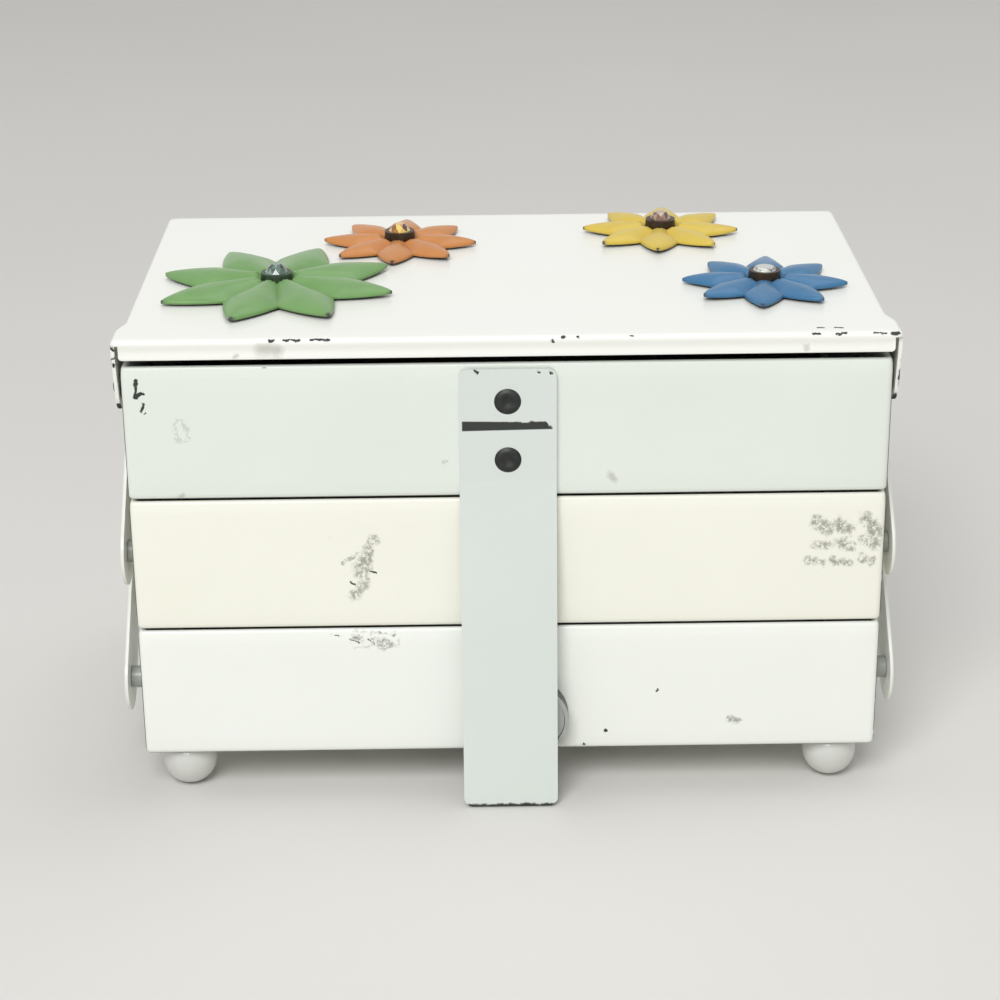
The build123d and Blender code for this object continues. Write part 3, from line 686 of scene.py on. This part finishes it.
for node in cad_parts:
    if "_arm_" in node:
        dress(node, enamels["arms"])
    elif "spacer" in node:
        dress(node, enamels["spacers"])
    elif "rivet" in node or "screw" in node or node == "post_caps":
        dress(node, rivet_steel)
dress("support_leg", enamels["support_leg"])
leg_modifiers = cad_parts["support_leg"].modifiers
rounding = leg_modifiers.new("rounded_edges", "BEVEL")
rounding.width = 0.5 * mm
rounding.segments = 3
rounding.limit_method = "ANGLE"
rounding.angle_limit = math.radians(50)
leg_modifiers.move(2, 1)  # the round comes before the weighted normals
dress("feet", foot.material)
dress("magnet_cup", cup.material)
dress("catch_magnet", plating)
dress("jewel_settings", setting.material)
for colour, stone in stones.items():
    dress(f"{colour}_jewel", stone, smooth=False)
print("dressed frame pieces:", sum(1 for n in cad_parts.values() if n.data.materials))

# %% [markdown]
# ## Surfaces from arrays
# The trays, the lid, the leg's rivets, the felt and the flowers are new surfaces. Each is a grid of rings
# of points, worked out as whole numpy arrays, with a face between every four neighbours and one on each
# end ring. A closed surface has a sign to its volume, and where that comes out negative the faces are
# turned round, so that they always point outwards.


# %% Grid helpers
def closed_faces(rows, columns):
    """Two arrays of point numbers: the faces between neighbouring rings, each from two points of one
    ring and two of the next, and the caps on the first and the last ring."""
    row = np.arange(rows - 1)[:, None] * columns
    column = np.arange(columns)[None, :]
    after = (column + 1) % columns
    sides = [row + column, row + after, row + columns + after, row + columns + column]
    caps = [np.arange(columns)[::-1], np.arange(columns) + (rows - 1) * columns]
    return np.stack(sides, axis=-1).reshape(-1, 4), np.stack(caps)


def enclosed_volume(points, faces):
    """A sixth of the sum of the triple products of each triangle's corners, faces cut as fans."""
    p = points[faces]
    first = np.broadcast_to(p[:, :1], p[:, 2:].shape)
    return np.einsum("fki,fki->", np.cross(p[:, 1:-1], p[:, 2:]), first) / 6


def add_piece(name, node, grids, material, body, sharp_degrees=35):
    """A closed piece that takes a frame node's place, from grids of rings in millimetres, smooth except
    across its sharp edges."""
    points, faces = [], []
    for grid in grids:
        sides, caps = closed_faces(*grid.shape[:2])
        ring_points = grid.reshape(-1, 3)
        if enclosed_volume(ring_points, sides) + enclosed_volume(ring_points, caps) < 0:
            sides, caps = sides[:, ::-1], caps[:, ::-1]
        faces += (sides + len(points)).tolist() + (caps + len(points)).tolist()
        points += (ring_points * mm).tolist()
    mesh = bpy.data.meshes.new(name)
    mesh.from_pydata(points, [], faces)
    mesh.shade_smooth()
    mesh.set_sharp_from_angle(angle=math.radians(sharp_degrees))
    mesh.materials.append(material)
    piece = bpy.data.objects.new(name, mesh)
    bpy.context.scene.collection.objects.link(piece)
    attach(piece, body)
    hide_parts(node)
    print(name, "faces:", len(faces))
    return piece


print("a grid of 3 rings of 4 points has", sum(map(len, closed_faces(3, 4))), "faces")

# %% [markdown]
# ## The trays as folded sheet
# A tray is one sheet folded up on four sides, its rim hemmed inwards. Its section, from the middle of the
# underside up the wall, over the hem and down to the floor inside, is the same all the way round, so that
# section is carried round a rounded rectangle. The walls of such thin sheet are never quite flat: each is
# drawn in a little, unevenly, which is what makes the light on them wander.


# %% Tray section and path
def arc(centre, radius, start, end, count):
    """Points of an arc: centre plus radius times cosine and sine of evenly spaced angles."""
    angle = np.radians(np.linspace(start, end, count))
    return np.stack([centre[0] + radius * np.cos(angle), centre[1] + radius * np.sin(angle)], axis=-1)


def rounded_path(long_steps, short_steps, corner_steps):
    """The way round a rounded rectangle, as places from -1 to 1 between the corners' centres and the
    outward direction at each: the direction turns only in the corners, the place moves only between."""
    quarter = np.radians(np.linspace(0, 90, corner_steps + 1))
    places, outward = [], []
    for k, steps in enumerate((long_steps, short_steps, long_steps, short_steps)):
        spin = np.radians(90 * k)
        turn_in = np.array([[np.cos(spin), -np.sin(spin)], [np.sin(spin), np.cos(spin)]])
        along = np.linspace(-1, 1, steps + 1)[:-1]
        straight = np.stack([along, -np.ones_like(along)], axis=-1)
        places.append(straight @ turn_in.T)
        outward.append(np.tile([[0.0, -1.0]], (steps, 1)) @ turn_in.T)
        corner = np.stack([np.sin(quarter), -np.cos(quarter)], axis=-1)[:-1]
        places.append(np.tile([[1.0, -1.0]], (corner_steps, 1)) @ turn_in.T)
        outward.append(corner @ turn_in.T)
    return np.concatenate(places), np.concatenate(outward)


def sweep_section(section, path, half, middle, corner_radius, least_radius, inset=None):
    """Each point of the section is a distance inwards and a height. At that distance the path is the
    corners' centres plus the corner radius times the outward direction."""
    places, outward = path
    inwards = section[:, 0, None] + (0 if inset is None else inset)
    radius = np.maximum(corner_radius - section[:, 0, None], least_radius)
    x = places[:, 0] * (half[0] - inwards - radius) + radius * outward[:, 0] + middle[0]
    y = places[:, 1] * (half[1] - inwards - radius) + radius * outward[:, 1] + middle[1]
    z = np.broadcast_to(section[:, 1, None], x.shape)
    return np.stack([x, y, z], axis=-1)


sheet = 0.8
hem_sheet = 0.7
hem_depth = 3.2
bend = 1.5
rim_lean = 0.25
lean_height = 2.8
wall_bow = 0.16
tray_path = rounded_path(long_steps=48, short_steps=28, corner_steps=6)
print("points round a tray:", len(tray_path[0]))


# %% The three tray shells
def tray_section(height):
    """Underside, outer bend, wall that leans in under the rim, hem, wall inside, inner bend, floor."""
    hem_radius = (sheet + hem_sheet) / 2
    near_rim = height - np.array([2.3, 1.8, 1.3, hem_radius])
    up = np.append(np.linspace(bend, height - lean_height, 9), near_rim)
    lean = rim_lean * np.clip((up - height + lean_height) / (lean_height - hem_radius), 0, 1) ** 1.4
    wall = np.stack([lean, up], axis=-1)
    inner = np.stack([np.full(9, sheet), np.linspace(height - hem_depth, bend, 9)], axis=-1)
    return np.concatenate(
        [
            [[40.0, 0.0], [12.0, 0.0], [3.0, 0.0]],
            arc((bend, bend), bend, 270, 180, 6)[:-1],
            wall,
            arc((rim_lean + hem_radius, height - hem_radius), hem_radius, 180, 0, 9)[1:],
            [[2 * hem_radius + 0.1, height - hem_depth + 0.25]],
            [[2 * hem_radius - 0.25, height - hem_depth]],
            inner,
            arc((bend, bend), bend - sheet, 180, 270, 5)[1:],
            [[3.0, sheet], [12.0, sheet], [40.0, sheet]],
        ]
    )


def wall_inset(section, path, height, seed):
    """How far the walls are drawn in: a bow that fades at rim, floor and corners, times slow waves."""
    places, _ = path
    wave = np.random.default_rng(seed).uniform(0, 2 * np.pi, 4)
    lift = np.clip((section[:, 1] - bend) / (height - hem_depth - bend), 0, 1)
    bow = np.sin(np.pi * lift)[:, None] * (section[:, 0] < 2)[:, None]
    x, y = places[:, 0], places[:, 1]
    ends = (1 - np.minimum(np.abs(x), np.abs(y)) ** 4)[None, :]
    slow = 0.6 + 0.25 * np.sin(3.1 * x + wave[0]) + 0.2 * np.sin(5.3 * y + wave[1])
    tilt = 0.15 * np.sin(2.2 * x + 1.7 * y + wave[2] + 3 * lift[:, None])
    return wall_bow * bow * ends * (slow[None, :] + tilt)


for seed, (node, body) in enumerate(tray_bodies.items()):
    low, high = box_mm(node)
    half = (high - low)[:2] / 2
    middle = (high + low)[:2] / 2
    height = high[2] - low[2]
    section = tray_section(height)
    inset = wall_inset(section, tray_path, height, seed)
    rings = sweep_section(section, tray_path, half, middle, tray_corner, least_radius=0.3, inset=inset)
    rings[..., 2] += low[2]
    add_piece(f"{node}_shell", node, [rings], enamels[node], body)

# %% [markdown]
# ## The lid
# The lid is a pan turned over. Towards the leg its sides step outwards in a soft joggle and run down as
# ears to the pivots, and its front corners there are left open, because the front flange and the ears are
# bent from one sheet. So its section is carried round like a tray's, but it reaches down by a different
# depth at each place: little at the open corners, and by the ear's round end at the pivots.

# %% Path and depth of the lid
lid_sheet = 0.8
lid_bend = 1.1
flange_hollow = 0.3
flange_depth = 6.0
front_depth = 4.4
open_depth = lid_bend + 0.1
joggle = 1.6
joggle_length = 7.0
pivot_place = (lid_front + 8.2, lid_top - 12.6)
ear_round = 5.0
lid_sag = 0.12


def path_rows(x, y, out_x, out_y, depth):
    """Rows of place, outward direction and depth, where a single value holds for all of them."""
    return np.stack(np.broadcast_arrays(x, y, out_x, out_y, depth), axis=-1).reshape(-1, 5)


def lid_half_path():
    """The right half of the way round, from the middle of the front to the middle of the back. The front
    flange ends in a small round, with x = end + r sin a and depth = full - r + r cos a. Both corners are
    quarter circles, and the ear's end is a half circle about the pivot."""
    end_round, corner, back_corner = 0.8, 1.3, 2.0
    quarter = np.radians(np.linspace(0, 90, 6))
    half_turn = np.radians(np.linspace(0, 180, 19))
    sine, cosine = np.sin(quarter), np.cos(quarter)
    round_start = lid_side - corner - 0.4 - end_round
    round_depth = front_depth - end_round * (1 - cosine)
    pivot_y, pivot_z = pivot_place
    shoulder = lid_top - flange_depth + 0.8
    ear_start, ear_end = lid_front + corner + 0.02, pivot_y + ear_round + 1.1
    ear_y = [ear_start, *(pivot_y - ear_round * np.cos(half_turn)), ear_end - 0.1, ear_end]
    ear_z = [shoulder, *(pivot_z - ear_round * np.sin(half_turn)), shoulder, lid_top - flange_depth]
    behind_ear = np.linspace(ear_end + 0.4, lid_front + 20, 10)
    to_back = np.linspace(lid_front + 22, lid_back - back_corner, 22)
    corner_x = lid_side - corner * (1 - sine)
    corner_y = lid_front + corner * (1 - cosine)
    back_x = lid_side - back_corner * (1 - cosine)
    back_y = lid_back - back_corner * (1 - sine)
    parts = [
        path_rows(np.linspace(0, round_start, 34), lid_front, 0, -1, front_depth),
        path_rows(round_start + end_round * sine, lid_front, 0, -1, round_depth)[1:],
        path_rows(round_start + end_round + 0.02, lid_front, 0, -1, open_depth),
        path_rows(corner_x, corner_y, sine, -cosine, open_depth),
        path_rows(lid_side, ear_y, 1, 0, lid_top - np.array(ear_z)),
        path_rows(lid_side, np.append(behind_ear, to_back), 1, 0, flange_depth),
        path_rows(back_x, back_y, cosine, sine, flange_depth)[1:],
        path_rows(np.linspace(lid_side - back_corner, 0, 34), lid_back, 0, 1, flange_depth)[1:],
    ]
    return np.concatenate(parts)


right_half = lid_half_path()
left_half = right_half[-2:0:-1] * [-1, 1, -1, 1, 1]
lid_path = np.concatenate([right_half, left_half])
print("points round the lid:", len(lid_path))


# %% The lid shell
def lid_rings(path):
    """Rings from the middle of the top over the bend, down the flange, round its edge and back inside.
    Rings of the sheet shrink the outline towards the middle, rings of the bend and flange go inwards
    along the outward direction, and the front flange is hollow, by a sine of its share of the way
    down. Last the joggle narrows everything behind the ears, by a smooth step, and the sheet sags."""
    x, y, out_x, out_y, depth = path.T
    middle = (lid_front + lid_back) / 2
    half = np.array([lid_side, (lid_back - lid_front) / 2])
    rings = []

    def sheet_ring(inset, z):
        shrunk_y = middle + (y - middle) * (1 - inset / half[1])
        rings.append([x * (1 - inset / half[0]), shrunk_y, np.full_like(x, z)])

    def wall_ring(inset, z):
        rings.append([x - out_x * inset, y - out_y * inset, np.full_like(x, z)])

    for inset in (44, 34, 24, 15, 8, 4):
        sheet_ring(inset, lid_top)
    for a in np.radians(np.linspace(0, 90, 7)):
        wall_ring(lid_bend * (1 - math.sin(a)), lid_top - lid_bend * (1 - math.cos(a)))
    front = np.clip(-out_y, 0, 1) * flange_hollow
    for share in (0.12, 0.25, 0.38, 0.5, 0.62, 0.74, 0.86, 0.95):
        hollow = front * math.sin(math.pi * min(share / 0.95, 1)) ** 1.5
        wall_ring(hollow, lid_top - lid_bend - share * (depth - lid_bend))
    wall_ring(0.06, lid_top - depth + 0.03)
    wall_ring(0.2, lid_top - depth)
    wall_ring(lid_sheet - 0.2, lid_top - depth)
    wall_ring(lid_sheet, lid_top - depth + 0.08)
    for share in (0.8, 0.5, 0.2, 0.0):
        wall_ring(lid_sheet, lid_top - lid_bend - share * (depth - lid_bend))
    for a in np.radians(np.linspace(90, 0, 4)[1:]):
        inner = lid_bend - lid_sheet
        wall_ring(lid_bend - inner * math.sin(a), lid_top - lid_bend + inner * math.cos(a))
    for inset in (4, 8, 15, 24, 34, 44):
        sheet_ring(inset, lid_top - lid_sheet)
    rings = np.array(rings).transpose(0, 2, 1)
    height = np.clip((rings[..., 2] - lid_top + flange_depth) / 4, 0, 1)
    start = lid_front + 10.6 - 3 * height
    step = np.clip((rings[..., 1] - start) / joggle_length, 0, 1)
    rings[..., 0] *= 1 - joggle / lid_side * step * step * (3 - 2 * step)
    wave = 0.5 + 0.5 * np.sin(0.055 * rings[..., 0] + 1.0) * np.sin(0.07 * rings[..., 1])
    edge = np.minimum(lid_side - np.abs(rings[..., 0]), half[1] - np.abs(rings[..., 1] - middle))
    rings[..., 2] -= lid_sag * wave * np.clip(edge / 12, 0, 1)
    return rings


add_piece("lid_shell", "lid", [lid_rings(lid_path)], enamels["lid"], "lid")

# %% [markdown]
# ## Dished rivets on the leg
# The leg's two rivets are set with a round punch, which leaves a smooth hollow in a low dome. Each head is
# a profile turned about the rivet's own line: the dome is an arc, and the hollow is taken off it by a
# cosine that starts and ends level.


# %% Turn the leg's rivets
def turned_rivet(centre, head_radius, dome, hollow_radius, hollow, back, around=48):
    """Rings of a rivet that faces the front. The head's height is the dome's arc less the hollow times
    (1 + cos) / 2 inside the hollow's radius; the shank runs back from it to the closing head."""
    radii = np.concatenate([[0.02], np.linspace(0.15, 1, 22)]) * head_radius
    reach = (head_radius**2 + dome**2) / (2 * dome)
    height = np.sqrt(reach**2 - radii**2) - (reach - dome)
    inside = np.clip(radii / hollow_radius, 0, 1)
    height = height - hollow * 0.5 * (1 + np.cos(np.pi * inside))
    radii = np.append(radii, [1.6, 1.6, 2.3, 2.3, 1.7, 0.1])
    height = np.append(height, [-0.02, 0.75 - back, 0.75 - back, 0.3 - back, -back, -back])
    angle = np.linspace(0, 2 * np.pi, around, endpoint=False)
    x = centre[0] + radii[:, None] * np.cos(angle)
    z = centre[2] + radii[:, None] * np.sin(angle)
    y = centre[1] - np.broadcast_to(height[:, None], x.shape)
    return np.stack([x, y, z], axis=-1)


rivet_low, rivet_high = box_mm("leg_rivets")
head_radius = (rivet_high[0] - rivet_low[0]) / 2
rivet_heights = (rivet_high[2] - head_radius, rivet_low[2] + head_radius)
rivet_form = dict(dome=1.1, hollow_radius=2.4, hollow=0.95, back=rivet_high[1] - leg_face)
rivets = [turned_rivet((0.0, leg_face, z), head_radius, **rivet_form) for z in rivet_heights]
add_piece("leg_rivet_pair", "leg_rivets", rivets, rivet_steel, "top", sharp_degrees=40)

# %% [markdown]
# ## Felt linings
# Each tray has a sheet of felt laid on its floor. Cut felt has a soft edge and lies nearly flat, with slow
# swells where the glue has let go, so its section is a thin slab with rounded edges carried round the
# same kind of path. Its nap is fine noise in colour and relief.

# %% Felt finish and sheets
felt = Finish("charcoal_felt")
nap = felt.noise(0.35 * mm, detail=5.0, roughness=0.8)
patches = felt.noise(12 * mm, detail=2.0)
felt.set(Base_Color=felt.mix(nap * 0.6 + patches * 0.4, paint(30, 30, 34), paint(66, 66, 72)))
felt.set(Roughness=0.95, Sheen_Weight=0.35)
felt.bump(nap, 0.25 * mm)


def lining_section(thickness):
    """Middle of the underside, rounded edge, then rings across the top to its middle."""
    edge = thickness / 2
    top = np.array([0.6, 1.5, 4, 9, 16, 24, 32, 40, 45])
    return np.concatenate(
        [
            [[45.0, 0.0], [20.0, 0.0], [2.0, 0.0]],
            arc((edge, edge), edge, 270, 90, 7),
            np.stack([top + edge, np.full(9, thickness)], axis=-1),
        ]
    )


felt_swell = 0.1
lining_path = rounded_path(long_steps=44, short_steps=26, corner_steps=6)
for seed, (node, body) in enumerate(tray_bodies.items()):
    lining_node = node.replace("tray", "lining")
    low, high = box_mm(lining_node)
    half = (high - low)[:2] / 2
    middle = (high + low)[:2] / 2
    thickness = high[2] - low[2]
    section = lining_section(thickness - felt_swell)
    rings = sweep_section(section, lining_path, half, middle, corner_radius=3.0, least_radius=0.2)
    swell = np.sin(0.09 * rings[..., 0] + seed) * np.sin(0.13 * rings[..., 1] + 2 * seed)
    is_top = (section[:, 1] > 0.5 * thickness)[:, None]
    rings[..., 2] += low[2] + np.where(is_top, felt_swell * (0.5 + 0.5 * swell), 0)
    lining = add_piece(f"{lining_node}_felt", lining_node, [rings], felt.material, body)
    print(lining.name, "flat size:", np.round(2 * half, 1))

# %% [markdown]
# ## Pressed flowers
# Each flower is one pressed sheet with eight pointed petals, domed so that a soft ridge runs out along each.
# Seen from above, a petal's edge bends in an arc from the valley between two petals to its widest place, and
# from there runs out almost straight to the tip, which makes a kite of it. Seen from the side, its ridge is
# level as far as the belly and curves down to the tip, and across it the surface falls off by a square. The
# enamel has worn to dark metal at the tips; the lower rim and the underside are drawn darker, down to dark
# metal, by a number stored on the points that the material reads.


# %% Petal form
petal_root = np.array([0.10, 0.045])
petal_belly = np.array([0.56, 0.232])
hub_height = 1.5
rim_height = 1.15
petal_lift = 0.5
petal_straightness = 0.6
valley_slope = math.tan(math.pi / 8)


def circle_through(p):
    """Centre and radius of the circle through three points: the two chords' bisectors meet there."""
    chords = p[1:] - p[0]
    centre = np.linalg.solve(2 * chords, (p[1:] ** 2).sum(1) - (p[0] ** 2).sum())
    return centre, np.linalg.norm(p[0] - centre)


def petal_half_width(x, radius):
    """From the middle line to the outline arc, or to the line between two petals where that is nearer.
    Beyond the belly the outline lies between the arc and the straight line to the tip."""
    centre, reach = circle_through(np.array([petal_root, petal_belly, [1.0, 0.0]]) * radius)
    arc_y = centre[1] + np.sqrt(np.maximum(reach**2 - (x - centre[0]) ** 2, 0))
    straight_y = petal_belly[1] * (radius - x) / (1 - petal_belly[0])
    beyond = x > petal_belly[0] * radius
    arc_y = np.where(beyond, arc_y + petal_straightness * (straight_y - arc_y), arc_y)
    return np.maximum(np.minimum(arc_y, x * valley_slope), 0)


def petal_outline(radius, count):
    """Half of a petal's free edge, from the valley, where the two half widths are equal, to the tip,
    which is worn back a little."""
    x = np.linspace(0.3, 1.0, 2000) * radius
    valley = x[np.argmax(petal_half_width(x, radius) < x * valley_slope - 1e-6)]
    x = valley + (radius - valley) * np.sin(np.linspace(0, np.pi / 2, count))
    y = petal_half_width(x, radius)
    y[-1] = 0
    x = x - 0.45 * np.exp(-((y / 0.5) ** 2))
    return np.stack([x, y], axis=-1)


def petal_height(x, y, radius):
    """A pillow: valley + (ridge - valley) (1 - share across squared). The ridge is level as far as the
    belly, and from there falls as an ellipse does to the rim at the tip. The valley starts high beside
    the setting and falls to the rim by the square of its share of the way to half the radius."""
    crown = 0.3 + 0.062 * radius
    beyond = np.clip((x / radius - 0.42) / 0.58, 0, 1)
    ridge = rim_height + crown * (1 - beyond**2) ** 0.9
    valley = rim_height + 0.7 * crown * np.clip(1 - (np.hypot(x, y) - 4) / (0.5 * radius - 4), 0, 1) ** 2
    share = np.clip(np.abs(y) / np.maximum(petal_half_width(x, radius), 0.05), 0, 1)
    return valley + (np.maximum(ridge, valley) - valley) * (1 - share**2)


print("half width of a 20 mm petal:", np.round(petal_half_width(np.array([4, 11, 18]), 20), 2).tolist())


# %% The surface of a flower
def flower_surface(radius, turn_degrees, hub_radius, seed):
    """Rings from the middle out over the petals, down the edge and back underneath, with how dark each point
    is drawn. Every petal is a little shorter or higher at its tip than the next."""
    half = petal_outline(radius, count=13)
    edge = np.concatenate([half * [1, -1], half[-2:0:-1]])
    shares = np.concatenate([[0.02, 0.08], np.linspace(0.14, 0.94, 18), [0.97, 0.99, 1.0]])
    flat = shares[:, None, None] * edge[None]
    away = np.hypot(flat[..., 0], flat[..., 1])
    blend = np.clip((away - hub_radius) / 0.9, 0, 1)
    blend = blend * blend * (3 - 2 * blend)
    top = hub_height + blend * (petal_height(flat[..., 0], flat[..., 1], radius) - hub_height)
    roll = np.clip((shares - 0.94) / 0.06, 0, 1)[:, None]
    top = top - 0.16 * roll**2
    rim_rows = np.array([0.30, 0.15, 0.0])[:, None] + np.full((1, len(edge)), petal_lift)
    back_shares = np.array([0.97, 0.9, 0.8, 0.68, 0.54, 0.4])
    back = back_shares[:, None, None] * edge[None]
    below = petal_height(back[..., 0], back[..., 1], radius) - rim_height + petal_lift
    core = np.array([1.9, 1.85, 0.4])[:, None, None] * (edge / np.hypot(*edge.T)[:, None])[None]
    core_height = np.array([petal_lift, 0.0, 0.0])[:, None] + np.zeros((1, len(edge)))
    flat = np.concatenate([flat, np.repeat(edge[None], 3, axis=0), back, core])
    rise = np.concatenate([top, rim_rows, below, core_height])
    # the rows down the rim and underneath get a high number, so they are drawn darker
    darkened = np.concatenate([0.36 * roll[:, 0] ** 2, [0.46, 0.56, 0.7], np.ones(len(back) + len(core))])
    tip = 0.9 * np.clip((np.hypot(flat[..., 0], flat[..., 1]) - radius + 2.1) / 1.6, 0, 1)
    luck = np.random.default_rng(seed)
    tip_wear = luck.uniform(0.86, 1.12, 8)
    dark_metal_share = np.maximum(darkened[:, None, None], tip[:, None, :] * tip_wear[None, :, None])
    turns = np.radians(turn_degrees + 45 * np.arange(8))
    reach = luck.uniform(0.975, 1.0, 8)
    raised = luck.uniform(0.0, 0.45, 8)
    out = np.clip(np.hypot(flat[..., 0], flat[..., 1]) / radius, 0, 1)[:, None, :]
    grow = 1 + (reach[None, :, None] - 1) * out**2
    along, across = flat[:, None, :, 0], flat[:, None, :, 1]
    x = grow * (along * np.cos(turns)[:, None] - across * np.sin(turns)[:, None])
    y = grow * (along * np.sin(turns)[:, None] + across * np.cos(turns)[:, None])
    z = rise[:, None, :] + raised[None, :, None] * np.clip((out - 0.6) / 0.4, 0, 1) ** 2
    points = np.stack([x, y, z], axis=-1).reshape(len(flat), -1, 3)
    return points, dark_metal_share.reshape(-1)


def make_flower_enamel(name, colour, deep, edge_colour):
    """Coloured enamel: deeper in slow clouds, with a darker tint and then dark metal where the stored number
    is high.
    """
    finish = Finish(name)
    cloud = finish.noise(5 * mm, detail=3.0)
    grain = finish.noise(0.7 * mm, detail=3.0, roughness=0.65)
    darkness = finish.attribute("darkness")
    dark_metal_share = finish.clamp((darkness + grain * 0.7 - 1.05) * 6)
    tone = finish.mix(cloud * 0.8, paint(*colour), paint(*deep))
    # a darker tint where the stored number is high: down the rim and underneath
    tone = finish.mix(finish.clamp(darkness * 1.4 - 0.5) * 0.5, tone, paint(*edge_colour))
    finish.set(Base_Color=finish.mix(dark_metal_share, tone, paint(84, 80, 82)))
    finish.set(Roughness=0.3 + dark_metal_share * 0.3 + grain * 0.06, Coat_Weight=0.2 - dark_metal_share * 0.2)
    finish.set(Coat_Roughness=0.1, Specular_IOR_Level=0.22)
    finish.bump(grain * 0.5 + cloud * 0.5, 0.12 * mm)
    return finish.material


flower_enamels = {
    "green": make_flower_enamel("green_enamel", (124, 166, 102), (106, 147, 88), (66, 78, 56)),
    "orange": make_flower_enamel("orange_enamel", (208, 142, 82), (190, 122, 68), (108, 80, 62)),
    "yellow": make_flower_enamel("yellow_enamel", (222, 196, 86), (204, 176, 72), (112, 100, 62)),
    "blue": make_flower_enamel("blue_enamel", (72, 125, 166), (56, 106, 146), (38, 54, 68)),
}
hub_radius = 3.75
radii = {"green": 28.4, "orange": 18.8, "yellow": 19.3, "blue": 19.1}
turns_degrees = {"green": 27.6, "orange": -4.6, "yellow": -5.6, "blue": -7.2}
for seed, (colour, enamel) in enumerate(flower_enamels.items()):
    node = f"{colour}_flower"
    low, high = box_mm(node)
    rings, darkness = flower_surface(radii[colour], turns_degrees[colour], hub_radius, seed)
    rings = rings + [*((low + high) / 2)[:2], lid_top]
    flower = add_piece(f"{colour}_petals", node, [rings], enamel, "lid", sharp_degrees=50)
    stored = flower.data.attributes.new("darkness", "FLOAT", "POINT")
    stored.data.foreach_set("value", darkness.astype(np.float32))

# %% [markdown]
# ## Measure and finish
# The box of the finished piece is measured, and its difference from the measured model's box is printed.

# %% Sizes and the end
visual_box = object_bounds()
differences = (np.array(visual_box) - np.array(cad_box)) / mm
print("size difference, mm:", np.round(differences, 2).tolist())
